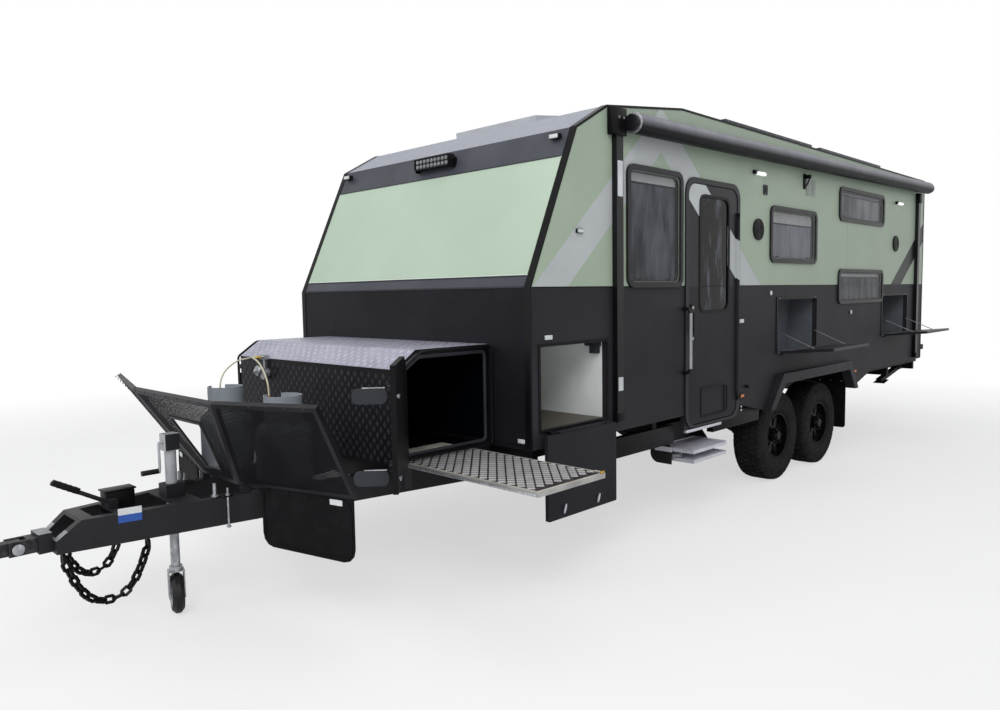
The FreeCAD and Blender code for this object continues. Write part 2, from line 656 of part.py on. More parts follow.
def wheel_boxes():
    """Covers over the tyres, open to the road and to the wheel arches."""
    t = s.box_wall
    outer = box("wheel_box_outer", s.box_inner, INNER, s.box_front, s.box_rear,
                s.floor_bottom, s.box_top)
    inner = box("wheel_box_inner", s.box_inner + t, INNER + t, s.box_front + t, s.box_rear - t,
                s.floor_bottom - t, s.box_top - t)
    kerb = cut("wheel_box_kerb", outer, inner)
    return [kerb, mirrored("wheel_box_road", kerb)]


def arch_flares():
    """Wide flares along the wheel arches."""
    w = s.flare_width
    top = s.arch_top_height + w
    inner = [(s.arch_front_low, s.arch_low_height), (s.arch_front_top, s.arch_top_height),
             (s.arch_rear_top, s.arch_top_height), (s.arch_rear_low, s.arch_low_height)]
    outer = [(s.arch_rear_low + w, s.arch_low_height), (s.arch_rear_top + w / 2, top),
             (s.arch_front_top - w / 2, top), (s.arch_front_low - w, s.arch_low_height)]
    kerb = panel("flare_kerb", "yz", HALF, HALF + s.flare_proud, inner + outer)
    node("arch_flares", group("flare_pair", kerb, mirrored("flare_road", kerb)))


def chassis():
    """Main rails, cross members, suspension hangers and leg brackets in one weldment."""
    parts = []
    for side, x0, x1 in (("kerb", s.rail_inner, s.rail_inner + s.rail_thick),
                         ("road", -s.rail_inner - s.rail_thick, -s.rail_inner)):
        parts.append(box("rail_" + side, x0, x1, s.rail_front, s.body_length - s.rail_tail, s.rail_bottom,
                         s.rail_top))
    for name, y, reach in (("one", s.member_one, s.member_reach),
                           ("two", s.member_two, s.member_reach),
                           ("three", s.member_three, s.member_reach),
                           ("four", s.member_four, s.rail_inner + s.rail_thick),
                           ("five", s.member_five, s.member_reach),
                           ("six", s.body_length - s.member_six_tail, s.member_reach),
                           ("seven", s.body_length - s.member_tail, s.member_reach)):
        parts.append(box("member_" + name, -reach, reach, y, y + s.member_depth,
                         s.rail_top - s.member_height, s.rail_top))
    t = s.hanger_thick
    for name, axle in (("front", s.front_axle), ("rear", s.rear_axle)):
        y = axle - s.arm_pivot_ahead
        for edge, x0 in (("inner", s.arm_inner - t - s.seat_gap),
                         ("outer", s.arm_inner + s.arm_box + s.seat_gap)):
            plate = box("hanger_%s_%s" % (name, edge), x0, x0 + t, y - s.pivot_boss_radius,
                        y + s.pivot_boss_radius, s.arm_pivot_height - s.pivot_boss_radius,
                        s.rail_top)
            parts += [plate, mirrored(plate.Name + "_road", plate)]
        bridge = box("hanger_top_" + name, s.rail_inner, s.arm_inner + s.arm_box + t + s.seat_gap,
                     y - s.pivot_boss_radius, y + s.pivot_boss_radius, s.rail_top - t, s.rail_top)
        pivot = rod("arm_pin_" + name, "x", s.stub_radius, s.arm_inner - t,
                    s.arm_inner + s.arm_box + t, (y, s.arm_pivot_height))
        seat_y = axle - s.spring_ahead
        seat = box("spring_seat_" + name, s.rail_inner, s.arm_inner + s.arm_box + t,
                   seat_y - s.spring_radius, seat_y + s.spring_radius, s.rail_top - t, s.rail_top)
        for part in (bridge, pivot, seat):
            parts += [part, mirrored(part.Name + "_road", part)]
    for name, y in (("front", s.leg_front_y), ("rear", s.body_length - s.leg_tail)):
        for edge, x0 in (("inner", s.leg_x - s.leg_bracket - s.seat_gap),
                         ("outer", s.leg_x + s.leg_width + s.seat_gap)):
            cheek = box("leg_cheek_%s_%s" % (name, edge), x0, x0 + s.leg_bracket,
                        y - s.leg_height, y + s.leg_height, s.leg_pivot_height - s.leg_height / 2,
                        s.rail_top)
            parts += [cheek, mirrored(cheek.Name + "_road", cheek)]
        beam = box("leg_beam_" + name, s.rail_inner, s.leg_x + s.leg_width + s.leg_bracket,
                   y - s.leg_height, y + s.leg_height, s.rail_top - s.leg_bracket, s.rail_top)
        pin_bar = rod("leg_pin_" + name, "x", s.leg_pin_radius, s.leg_x - s.leg_bracket,
                      s.leg_x + s.leg_width + s.leg_bracket, (y, s.leg_pivot_height))
        parts += [beam, mirrored(beam.Name + "_road", beam)]
        parts += [pin_bar, mirrored(pin_bar.Name + "_road", pin_bar)]
    node("chassis_frame", fuse("chassis_weldment", *parts))


def drawbar():
    """A-frame of two rails that meet at the coupling, with its plates and box bearers."""
    tip_y = -s.hitch_overhang + s.tip_setback
    inset = s.bar_thick
    kerb = panel("drawbar_kerb", "xy", s.bar_bottom, s.bar_top,
                 [(s.tip_half - inset, tip_y), (s.tip_half, tip_y),
                  (s.drawbar_rear_half, s.drawbar_rear),
                  (s.drawbar_rear_half - inset, s.drawbar_rear)])
    road = mirrored("drawbar_road", kerb)
    head = box("drawbar_head", -s.tip_half, s.tip_half, tip_y, tip_y + s.plate_thick,
               s.bar_bottom, s.bar_top)
    deck = box("drawbar_deck", -s.tip_half, s.tip_half, tip_y, tip_y + s.head_plate_length,
               s.bar_top - s.plate_thick, s.bar_top)
    clamp = box("jockey_plate", -s.tip_half * JOCKEY_PLATE_SHARE, s.tip_half * JOCKEY_PLATE_SHARE,
                -s.jockey_plate_front, -s.jockey_plate_front + s.jockey_plate_length,
                s.bar_top - s.plate_thick, s.bar_top)
    hole = rod("jockey_hole", "z", s.jockey_outer_radius + s.seat_gap, s.bar_bottom,
               s.bar_top + s.cut_over, (s.jockey_x, -s.jockey_y))
    clamp_cut = cut("jockey_plate_bored", clamp, hole)
    parts = [kerb, road, head, deck, clamp_cut]
    for name, y in (("front", -s.toolbox_front + s.bearer_depth),
                    ("rear", -s.bearer_depth - s.bearer_depth)):
        parts.append(box("bearer_" + name, -s.toolbox_half, s.toolbox_half, y, y + s.bearer_depth,
                         s.bar_top, s.toolbox_bottom))
    welded = fuse("drawbar_weldment", *parts)
    drop, run = s.tip_chamfer_drop, s.tip_chamfer_length
    nose = panel("drawbar_nose", "yz", -s.tip_half - s.cut_over, s.tip_half + s.cut_over,
                 [(tip_y - s.cut_over, s.bar_top - drop), (tip_y, s.bar_top - drop),
                  (tip_y + run, s.bar_top), (tip_y + run, s.bar_top + s.cut_over),
                  (tip_y - s.cut_over, s.bar_top + s.cut_over)])
    node("drawbar", fuse("drawbar_fitted", cut("drawbar_cut", welded, nose), coupling_housing(),
                         jockey_clamp(), bottle_plate(), handbrake()))


def coupling_housing():
    """Block on the drawbar's nose with the bearing of the rolling yoke."""
    tip_y = -s.hitch_overhang + s.tip_setback
    front = tip_y - s.coupling_length
    housing = box("coupling_block", -s.coupling_half, s.coupling_half, front, tip_y,
                  s.coupling_low, s.coupling_high)
    return cut("coupling_housing_bored", housing,
               rod("roll_bore", "y", s.roll_shaft_radius + s.seat_gap, front - s.cut_over, tip_y,
                   (ZERO, s.hitch_height)))


def jockey_clamp():
    """Collar on the drawbar that grips the jockey wheel's mast."""
    c = s.clamp_half
    at = (s.jockey_x, -s.jockey_y)
    top = s.bar_top + s.clamp_height
    block = box("clamp_block", at[0] - c, at[0] + c, at[1] - c, at[1] + c, s.bar_top, top)
    return cut("clamp_collar", block,
               rod("clamp_bore", "z", s.jockey_outer_radius + s.seat_gap, s.bar_bottom,
                   top + s.cut_over, at))


def coupling():
    """Rolling yoke and pitching block with the tow-pin bore."""
    front = -s.hitch_overhang + s.tip_setback - s.coupling_length
    centre = s.hitch_height
    pin_y = -s.hitch_overhang + s.pin_setback
    yoke_back = front - s.seat_gap - pin_y
    cheeks = []
    for side, x0, x1 in (("kerb", s.block_half + s.seat_gap,
                          s.block_half + s.seat_gap + s.yoke_cheek),
                         ("road", -s.block_half - s.seat_gap - s.yoke_cheek,
                          -s.block_half - s.seat_gap)):
        cheeks.append(box("yoke_cheek_" + side, x0, x1, -s.yoke_height / 2, yoke_back,
                          -s.yoke_height / 2, s.yoke_height / 2))
    back = box("yoke_back", -s.block_half - s.yoke_cheek, s.block_half + s.yoke_cheek,
               s.yoke_height * YOKE_BACK_SHARE, yoke_back, -s.yoke_height / 2, s.yoke_height / 2)
    shaft = rod("roll_shaft", "y", s.roll_shaft_radius, yoke_back,
                yoke_back + s.coupling_length, (ZERO, ZERO))
    cross = rod("cross_pin", "x", s.cross_pin_radius, -s.block_half - s.yoke_cheek,
                s.block_half + s.yoke_cheek, (ZERO, ZERO))
    heads = [rod("cross_pin_head_kerb", "x", s.cross_pin_head, s.block_half + s.yoke_cheek,
                 s.block_half + s.yoke_cheek * 2, (ZERO, ZERO))]
    heads.append(mirrored("cross_pin_head_road", heads[0]))
    node("coupling_yoke", fuse("yoke_forging", back, shaft, cross, *cheeks, *heads),
         (ZERO, pin_y, centre))
    block = box("coupling_nose", -s.block_half, s.block_half, -s.pin_setback - s.block_nose,
                s.block_tail, -s.block_height / 2, s.block_height / 2)
    bores = [rod("cross_bore", "x", s.cross_pin_radius + s.seat_gap, -s.block_half - s.cut_over,
                 s.block_half + s.cut_over, (ZERO, ZERO)),
             rod("tow_bore", "z", s.tow_pin_radius, -s.block_height, s.block_height,
                 (ZERO, -s.pin_setback))]
    node("coupling_head", cut("coupling_head_bored", block, *bores), (ZERO, pin_y, centre))


def jockey():
    """Jockey wheel: clamped outer tube, winding inner tube, castor fork and wheel."""
    x, y = s.jockey_x, -s.jockey_y
    low, high = s.jockey_tube_low, s.jockey_tube_high
    tube = cut("jockey_outer_tube",
               rod("jockey_outer", "z", s.jockey_outer_radius, low, high, (ZERO, ZERO)),
               rod("jockey_outer_bore", "z", s.jockey_inner_radius + s.seat_gap, low - s.cut_over,
                   high - s.wall_thick, (ZERO, ZERO)))
    half = s.jockey_head_half
    head = box("jockey_gear_case", -half, half, -half, half, high, high + s.jockey_head_height)
    crank_z = high + s.jockey_head_height / 2
    crank_y = -half - s.crank_radius * 3
    shaft = rod("crank_shaft", "y", s.crank_radius, crank_y, -half, (ZERO, crank_z))
    arm = rod("crank_arm", "z", s.crank_radius, crank_z - s.crank_reach, crank_z, (ZERO, crank_y))
    grip = rod("crank_handle", "y", s.grip_radius, crank_y - s.crank_grip, crank_y,
               (ZERO, crank_z - s.crank_reach))
    node("jockey_mast", fuse("jockey_mast_fused", tube, head, shaft, arm, grip), (x, y, ZERO))
    inner = rod("jockey_inner", "z", s.jockey_inner_radius, s.jockey_inner_low,
                s.jockey_inner_high, (ZERO, ZERO))
    node("jockey_inner_tube", inner, (x, y, ZERO))
    castor = ((0, 0, 1), s.castor_turn)
    r, w = s.jockey_wheel_radius, s.jockey_wheel_width / 2
    cheek_x = w + s.fork_side_gap
    crown = box("fork_crown_plate", -cheek_x - s.fork_thick, cheek_x + s.fork_thick,
                -s.fork_cap_radius, s.fork_cap_radius, s.fork_crown - s.fork_thick, s.fork_crown)
    cap = rod("fork_cap", "z", s.fork_cap_radius, s.fork_crown,
              s.jockey_inner_low - s.seat_gap, (ZERO, ZERO))
    cheek = box("fork_cheek", cheek_x, cheek_x + s.fork_thick, -s.fork_cap_radius,
                s.fork_cap_radius, r * FORK_TAIL_SHARE, s.fork_crown)
    axle = rod("jockey_axle", "x", s.jockey_axle_radius, -cheek_x, cheek_x, (ZERO, r))
    node("jockey_fork", fuse("jockey_fork_fused", crown, cap, cheek,
                             mirrored("fork_cheek_road", cheek), axle), (x, y, ZERO), castor)
    e = s.jockey_wheel_width * JOCKEY_EDGE_SHARE
    wheel = turned("jockey_roller", "x",
                   [(-w, s.jockey_axle_radius + s.seat_gap), (w, s.jockey_axle_radius + s.seat_gap),
                    (w, r - e), (w - e, r), (e - w, r), (-w, r - e)])
    node("jockey_wheel", wheel, (x, y, r), castor)


def toolbox():
    """Front tool box: a folded shell open at both ends, its seals, doors and latches."""
    t = s.toolbox_skin
    front, top, bottom, half = -s.toolbox_front, s.toolbox_top, s.toolbox_bottom, s.toolbox_half
    run, drop = s.toolbox_chamfer_length, s.toolbox_chamfer_drop
    back = -s.seat_gap

    def profile(m, rise=None):
        slope = m * CHAMFER_INSET_SHARE
        foot = bottom + (m if rise is None else rise)
        return [(front + m, foot), (back - m, foot), (back - m, top - m),
                (front + run + slope, top - m), (front + m, top - drop - slope)]

    skin = panel("toolbox_skin", "yz", -half, half, profile(ZERO), profile(t))
    lip = s.frame_lip
    sill = s.door_sill
    ring = panel("toolbox_ring_kerb", "yz", half - t, half, profile(t), profile(lip, sill))
    slot = box("toolbox_tray_slot", half - t - t, half + t, -s.tray_front - s.swing_gap,
               -s.tray_rear + s.swing_gap, bottom + t, s.leaf_bottom)
    ring_open = cut("toolbox_ring_open", ring, slot)
    seal = panel("toolbox_seal_kerb", "yz", half, half + s.seal_thick,
                 profile(lip / 2, sill - lip / 2), profile(lip, sill))
    hinge_low = s.leaf_bottom + s.hinge_length
    hinge_high = top - drop - s.hinge_length
    axis_out = s.door_axis_out
    leaf_in = s.seal_thick - axis_out + s.seat_gap
    leaf_out = leaf_in + s.leaf_thick
    a, b = s.door_axis_y - s.leaf_front, s.door_axis_y - s.leaf_rear
    leaf_top = top - s.leaf_top_margin
    chamfer_y = a + run
    plate = panel("toolbox_leaf_plate", "yz", leaf_in, leaf_out,
                  [(a, s.leaf_bottom), (b, s.leaf_bottom), (b, leaf_top),
                   (chamfer_y, leaf_top), (a, leaf_top - drop)])
    leaf, low, high = barrel("toolbox_hinge", "z", hinge_low, hinge_high, (ZERO, ZERO),
                             s.hinge_radius)
    tab = box("toolbox_leaf_tab", leaf_out - s.hinge_radius, ZERO, -s.hinge_radius, a + s.hinge_radius,
              hinge_low + s.hinge_length, hinge_high - s.hinge_length)
    knobs = [rod("latch_" + name, "x", s.latch_radius, leaf_out, leaf_out + s.latch_proud,
                 (b - s.latch_radius * 2, z))
             for name, z in (("low", s.leaf_bottom + s.hinge_length * 2),
                             ("high", leaf_top - s.hinge_length * 2))]
    door = fuse("toolbox_leaf", plate, leaf, tab, *knobs)
    at_kerb = (half + axis_out, -s.door_axis_y, ZERO)
    node("toolbox_door_kerb", group("toolbox_leaf_kerb", door), at_kerb,
         ((0, 0, -1), s.door_swing))
    node("toolbox_door_road", mirrored("toolbox_leaf_road", door),
         (-half - axis_out, -s.door_axis_y, ZERO))
    knuckles = []
    for name, rod_part, z0 in (("low", low, hinge_low),
                               ("high", high, hinge_high - s.hinge_length / 2)):
        arm = box("toolbox_knuckle_arm_" + name, -axis_out, ZERO, -s.hinge_radius,
                  s.hinge_radius, z0, z0 + s.hinge_length / 2)
        knuckles.append(fuse("toolbox_knuckle_" + name, rod_part, arm))
    kerb = group("toolbox_knuckles_kerb", *knuckles)
    place(kerb, at_kerb)
    node("toolbox", fuse("toolbox_shell", skin, ring_open, mirrored("toolbox_ring_road", ring),
                         seal, mirrored("toolbox_seal_road", seal), kerb,
                         mirrored("toolbox_knuckles_road", kerb), *tray_runners()))


def tray_runners():
    """Runners on the tool box's floor, under the slide-out tray."""
    base = s.toolbox_bottom + s.toolbox_skin
    top = s.tray_top - s.tray_thick - s.seat_gap
    inset = s.tray_rim
    return [box("runner_" + name, inset - s.toolbox_half, s.toolbox_half - inset, y,
                y + s.tray_rim, base, top)
            for name, y in (("front", s.tray_rim - s.tray_front),
                            ("rear", -s.tray_rear - s.tray_rim * 2))]


def slide_tray():
    """Slide-out tray, drawn out to the kerb side."""
    bottom = s.tray_top - s.tray_thick
    y0, y1 = -s.tray_front, -s.tray_rear
    x0, x1 = s.tray_out - s.tray_length, s.tray_out
    plate = panel("tray_plate", "xy", bottom, s.tray_top, rectangle(x0, x1, y0, y1, s.swing_gap))
    r = s.tray_rim
    pocket(plate, "xy", s.tray_top - s.tray_thick / 4, s.tray_top,
           rectangle(x0 + r, x1 - r, y0 + r, y1 - r))
    catch = box("tray_catch", x1 - s.catch_length, x1 - s.swing_gap, y1 - s.catch_width - s.swing_gap,
                y1 - s.swing_gap, s.tray_top, s.tray_top + s.catch_height)
    node("slide_tray", fuse("tray_with_catch", plate, catch))


def surface_flap(name, length, height):
    """Bottom-hung flap over an opening, in its hinge's own frame: shut, leaf above the axis."""
    reach = s.hinge_reach
    t = s.flap_thick
    back = -s.hinge_radius - t
    leaf = panel(name + "_plate", "yz", back, -s.hinge_radius,
                 rectangle(ZERO, length, reach, height + reach, s.hinge_radius * 2))
    pins, low, high = barrel(name, "y", s.hinge_length, length - s.hinge_length, (ZERO, ZERO),
                             s.hinge_radius)
    tab = box(name + "_tab", -t, ZERO, s.hinge_length * 2, length - s.hinge_length * 2, ZERO,
              reach + s.hinge_radius)
    knobs = [rod(name + "_latch_" + edge, "x", s.flap_latch_radius, -s.hinge_radius,
                 s.hinge_radius, (y, height - s.hinge_length / 2))
             for edge, y in (("front", s.hinge_length * 2), ("rear", length - s.hinge_length * 2))]
    arms = []
    for edge, rod_part, y0 in (("front", low, s.hinge_length),
                               ("rear", high, length - s.hinge_length * 3 / 2)):
        arm = box("%s_arm_%s" % (name, edge), -s.flap_axis_out, ZERO, y0, y0 + s.hinge_length / 2,
                  -s.hinge_radius, s.hinge_radius)
        arms.append(fuse("%s_knuckle_%s" % (name, edge), rod_part, arm))
    return fuse(name, leaf, pins, tab, *knobs), group(name + "_knuckles", *arms)


def storage_bay():
    """Through bay behind the front wall, its lining and two flaps; returns their knuckles."""
    t = s.liner_wall
    outer = box("bay_outer", -INNER, INNER, s.bay_front - t, s.bay_rear + t, s.bay_bottom - t,
                s.bay_top + t)
    inner = box("bay_inner", -HALF, HALF, s.bay_front, s.bay_rear, s.bay_bottom, s.bay_top)
    node("storage_bay_lining", cut("bay_lining", outer, inner))
    m = s.flap_margin
    length = s.bay_rear - s.bay_front + m * 2
    flap, knuckles = surface_flap("storage_flap", length, s.bay_top - s.bay_bottom + m)
    at = (HALF + s.flap_axis_out, s.bay_front - m, s.bay_bottom - m)
    node("storage_flap_kerb", group("storage_flap_hanging", flap), at,
         ((0, 1, 0), s.flap_half_turn))
    node("storage_flap_road", mirrored("storage_flap_mirrored", flap), (-at[0], at[1], at[2]))
    place(knuckles, at)
    return [knuckles, mirrored("storage_knuckles_road", knuckles)]


def hatch(name, front, rear, bottom, top):
    """Fold-down flap in a recess, hinged at its lower edge, with its two stays."""
    gap = s.swing_gap
    axis_z = bottom + s.hatch_axis_rise
    axis_x = HALF + s.hatch_proud + s.hinge_radius
    length = rear - front - gap * 2
    height = top - gap - axis_z
    t = s.hatch_thick
    leaf = panel(name + "_plate", "yz", -s.hinge_radius - t, -s.hinge_radius,
                 rectangle(ZERO, length, s.hinge_radius, height, s.hinge_radius * 2))
    pins, low, high = barrel(name, "y", s.hinge_length, length - s.hinge_length, (ZERO, ZERO),
                             s.hinge_radius)
    tab = box(name + "_tab", -s.hinge_radius * 2, ZERO, s.hinge_length * 2,
              length - s.hinge_length * 2, ZERO, s.hinge_radius * 2)
    stays = []
    for edge, y in (("front", s.stay_inset), ("rear", length - s.stay_inset)):
        stays.append(pipe("%s_stay_%s" % (name, edge),
                          [(-s.hinge_radius - t, y, s.stay_reach),
                           (-s.stay_rise, y, s.stay_lift)], s.stay_radius, None))
    arms = []
    for edge, rod_part, y0 in (("front", low, s.hinge_length),
                               ("rear", high, length - s.hinge_length * 3 / 2)):
        arm = box("%s_arm_%s" % (name, edge), -s.hatch_proud - s.hinge_radius, ZERO, y0,
                  y0 + s.hinge_length / 2, -s.hinge_radius * 2, -s.hatch_axis_rise)
        arms.append(fuse("%s_knuckle_%s" % (name, edge), rod_part, arm))
    flap = fuse(name, leaf, pins, tab, *stays)
    at = (axis_x, front + gap, axis_z)
    node(name, flap, at, ((0, 1, 0), s.hatch_open))
    knuckles = group(name + "_knuckles", *arms)
    place(knuckles, at)
    w = s.liner_wall
    outer = box(name + "_lining_outer", INNER - s.recess_depth, INNER, front - w, rear + w,
                bottom - w, top + w)
    inner = box(name + "_lining_inner", INNER - s.recess_depth + w, HALF, front, rear, bottom, top)
    return knuckles, cut(name + "_lining", outer, inner)


def hatches():
    """The two fold-down hatches of the kerb side; returns their knuckles."""
    one = hatch("hatch_flap_front", s.hatch_one_front, s.hatch_one_rear, s.hatch_one_bottom,
                s.hatch_one_top)
    two = hatch("hatch_flap_rear", s.hatch_two_front, s.hatch_two_rear, s.hatch_two_bottom,
                s.hatch_two_top)
    node("hatch_linings", group("hatch_lining_set", one[1], two[1]))
    return [one[0], two[0]]


def hinges():
    """Flaps, hatches and entry door, with the knuckles that carry them in one set."""
    node("flap_hinges", group("flap_hinge_set", *storage_bay(), *hatches(), *entry_door()))


def door_ring():
    """Raised frame round the doorway."""
    ring = s.door_ring
    return panel("door_ring", "yz", HALF, HALF + s.ring_proud,
                 rectangle(s.door_front - ring, s.door_rear + ring, s.door_bottom - ring / 2,
                           s.door_top + ring, s.door_corner + ring / 2),
                 rectangle(s.door_front, s.door_rear, s.door_bottom, s.door_top, s.door_corner))


def entry_door():
    """Hinged door with its window, vent and handle; returns its knuckles."""
    out = s.door_hinge_out
    axis = (HALF + out, s.door_rear - s.door_hinge_reach, ZERO)
    r = s.door_hinge_radius
    gap = s.swing_gap
    x1 = s.door_proud - out
    x0 = x1 - s.door_thick
    far = s.door_front + gap - axis[1]
    near = s.door_rear - gap - axis[1]
    leaf = panel("door_plate", "yz", x0, x1,
                 rectangle(far, near, s.door_bottom + gap, s.door_top - gap, s.door_corner - gap))
    win = rectangle(s.door_window_front - axis[1], s.door_window_rear - axis[1],
                    s.door_window_bottom, s.door_window_top, s.window_corner)
    pocket(leaf, "yz", x0 - s.cut_over, x1 + s.cut_over, win)
    pocket(leaf, "yz", x1 - s.vent_depth, x1,
           rectangle(s.door_window_front - axis[1], s.door_window_rear - axis[1], s.vent_bottom,
                     s.vent_top, s.window_ring))
    low, high = s.door_bottom + s.hinge_length * 2, s.door_top - s.hinge_length * 3
    pins, knuckle_low, knuckle_high = barrel("door_hinge", "z", low, high, (ZERO, ZERO), r)
    tab = box("door_leaf_tab", x1 - r, ZERO, near - r * 2, ZERO, low + s.hinge_length,
              high - s.hinge_length)
    handle = box("door_handle", x1 - r, x1 + s.handle_proud, far + s.handle_width / 2,
                 far + s.handle_width * 3 / 2, s.handle_height, s.handle_height + s.handle_length)
    node("entry_door", fuse("entry_door_leaf", leaf, pins, tab, handle), axis)
    fit = s.seat_gap
    glass = panel("door_pane", "yz", x0 + s.glass_thick, x1 - s.glass_thick / 2,
                  rectangle(s.door_window_front - axis[1] + fit,
                            s.door_window_rear - axis[1] - fit, s.door_window_bottom + fit,
                            s.door_window_top - fit, s.window_corner - fit))
    node("entry_door_glass", glass, axis)
    arms = []
    for edge, rod_part, z0 in (("low", knuckle_low, low),
                               ("high", knuckle_high, high - s.hinge_length / 2)):
        arm = box("door_knuckle_arm_" + edge, s.ring_proud - out, ZERO, ZERO,
                  s.door_hinge_reach + r * 2, z0, z0 + s.hinge_length / 2)
        arms.append(fuse("door_knuckle_" + edge, rod_part, arm))
    return [place(group("door_knuckles", *arms), axis)]


def wheel_parts():
    """Rim with spokes, hub and drum, and the tyre, about the axle's middle."""
    w = s.tyre_width / 2
    rim_r, r = s.rim_radius, s.wheel_radius
    t = s.rim_thick
    tyre = turned("wheel_tyre", "x",
                  [(-w * BEAD_SHARE, rim_r + s.seat_gap), (w * BEAD_SHARE, rim_r + s.seat_gap),
                   (w, rim_r + s.tyre_shoulder), (w, r - s.tyre_shoulder),
                   (w * SHOULDER_SHARES[0], r - s.tyre_tread), (w * SHOULDER_SHARES[1], r),
                   (-w * SHOULDER_SHARES[1], r), (-w * SHOULDER_SHARES[0], r - s.tyre_tread),
                   (-w, r - s.tyre_shoulder), (-w, rim_r + s.tyre_shoulder)])
    edge = w * BEAD_SHARE
    disc_out = edge - s.disc_inset
    disc_in = disc_out - s.disc_thick
    bore = s.stub_radius + s.seat_gap
    barrel_in = rim_r - t
    rim = turned("wheel_rim_profile", "x",
                 [(-edge, barrel_in), (disc_in, barrel_in), (disc_in, s.drum_radius),
                  (disc_in - s.drum_length, s.drum_radius), (disc_in - s.drum_length, bore),
                  (disc_out, bore), (disc_out, ZERO), (disc_out + s.hub_length, ZERO),
                  (disc_out + s.hub_length, s.cap_radius, s.rim_thick),
                  (disc_out + s.hub_length / 2, s.cap_radius),
                  (disc_out + s.hub_length / 2, s.hub_radius), (disc_out, s.hub_radius),
                  (disc_out, barrel_in), (edge, barrel_in), (edge, rim_r), (-edge, rim_r)])
    span = s.spoke_outer - s.spoke_inner
    slot = pocket(rim, "yz", disc_in, disc_out + s.cut_over,
                  [(-s.spoke_gap * SLOT_SHARES[0], s.spoke_inner),
                   (s.spoke_gap * SLOT_SHARES[0], s.spoke_inner),
                   (s.spoke_gap * SLOT_SHARES[1], s.spoke_inner + span * SLOT_SHARES[2]),
                   (s.spoke_gap * SLOT_SHARES[3], s.spoke_outer),
                   (-s.spoke_gap * SLOT_SHARES[3], s.spoke_outer),
                   (-s.spoke_gap * SLOT_SHARES[1], s.spoke_inner + span * SLOT_SHARES[2])])
    ring = rim.newObject("PartDesign::PolarPattern", "wheel_slots")
    ring.Originals = [slot]
    axis = [f for f in rim.Origin.OriginFeatures if f.Role == "X_Axis"][0]
    ring.Axis = (axis, [""])
    ring.Angle = 360
    ring.setExpression("Occurrences", s.spoke_count.formula)
    rim.Tip = ring
    return tyre, rim


def wheels():
    """Four road wheels, and the spare on the rear bar."""
    tyre, rim = wheel_parts()
    x = s.wheel_outer - s.tyre_width / 2
    for end, y in (("front", s.front_axle), ("rear", s.rear_axle)):
        for side, sign in (("kerb", 1), ("road", -1)):
            label = "%s_%s" % (end, side)
            at = (x * sign, y, s.wheel_radius)
            tyre_copy, rim_copy = group("tyre_copy_" + label, tyre), group("rim_copy_" + label, rim)
            if sign < 0:
                tyre_copy = mirrored("tyre_mirror_" + label, tyre_copy)
                rim_copy = mirrored("rim_mirror_" + label, rim_copy)
            node("tyre_" + label, tyre_copy, at)
            node("rim_" + label, rim_copy, at)
    back = s.body_length + s.rear_bar_gap + s.rear_bar_size
    spare_at = (ZERO, back + s.tyre_width / 2 + s.seat_gap, s.spare_height)
    for kind, part in (("tyre", tyre), ("rim", rim)):
        node("spare_" + kind, group("spare_copy_" + kind, part), spare_at,
             ((0, 0, 1), s.quarter_turn))


def suspension():
    """Trailing arms with stub axles, and air springs between arms and chassis."""
    arms = []
    springs = []
    for name, axle in (("front", s.front_axle), ("rear", s.rear_axle)):
        pivot = axle - s.arm_pivot_ahead
        z0, z1 = s.arm_pivot_height, s.wheel_radius
        half = s.pivot_boss_radius
        bar = panel("arm_bar_" + name, "yz", s.arm_inner, s.arm_inner + s.arm_box,
                    [(pivot, z0 - half), (axle + s.arm_tail, z1 - half),
                     (axle + s.arm_tail, z1 + half),
                     (axle - s.spring_ahead + s.spring_radius, s.spring_floor),
                     (axle - s.spring_ahead - s.spring_radius, s.spring_floor),
                     (pivot, z0 + half)])
        boss = rod("arm_boss_" + name, "x", half, s.arm_inner, s.arm_inner + s.arm_box,
                   (pivot, z0))
        bore = rod("arm_bore_" + name, "x", s.stub_radius + s.seat_gap,
                   s.arm_inner - s.cut_over, s.arm_inner + s.arm_box + s.cut_over, (pivot, z0))
        w = s.tyre_width / 2
        stub_end = s.wheel_outer - w + w * BEAD_SHARE - s.disc_inset - s.seat_gap
        stub = rod("stub_axle_" + name, "x", s.stub_radius, s.arm_inner, stub_end, (axle, z1))
        arm = cut("arm_" + name, fuse("arm_fused_" + name, bar, boss, stub), bore)
        arms += [arm, mirrored("arm_road_" + name, arm)]
        seat_y = axle - s.spring_ahead
        seat_x = s.arm_inner + s.arm_box / 2
        top = s.rail_top - s.hanger_thick
        spring = turned("spring_" + name, "z",
                        [(ZERO, s.spring_floor + s.seat_gap),
                         (s.spring_radius * SPRING_WAIST_SHARE, s.spring_floor + s.seat_gap),
                         (s.spring_radius, s.spring_floor + s.spring_bulge),
                         (s.spring_radius, top - s.spring_bulge),
                         (s.spring_radius * SPRING_WAIST_SHARE, top), (ZERO, top)])
        spring_at = group("spring_place_" + name, spring)
        place(spring_at, (seat_x, seat_y, ZERO))
        springs += [spring_at, mirrored("spring_road_" + name, spring_at)]
    node("suspension", group("suspension_set", *arms, *springs))


def shield_corners():
    """Corners of the kerb wing: top and foot of its fold line, outer top and outer foot."""
    fold_top = (s.shield_fold_top, -s.shield_top_y, s.shield_top)
    fold_low = (s.shield_fold_low, -s.shield_low_y, s.shield_low)
    wing_top = (s.wing_top_x, -s.wing_top_y, s.wing_top)
    a, b, c = (FreeCAD.Vector(*(v.value for v in p)) for p in (fold_top, fold_low, wing_top))
    normal = (b - a).cross(c - a)
    x, z = s.wing_low_x.value, s.wing_low.value
    y = a.y - (normal.x * (x - a.x) + normal.z * (z - a.z)) / normal.y
    return fold_top, fold_low, wing_top, (x, y, z)


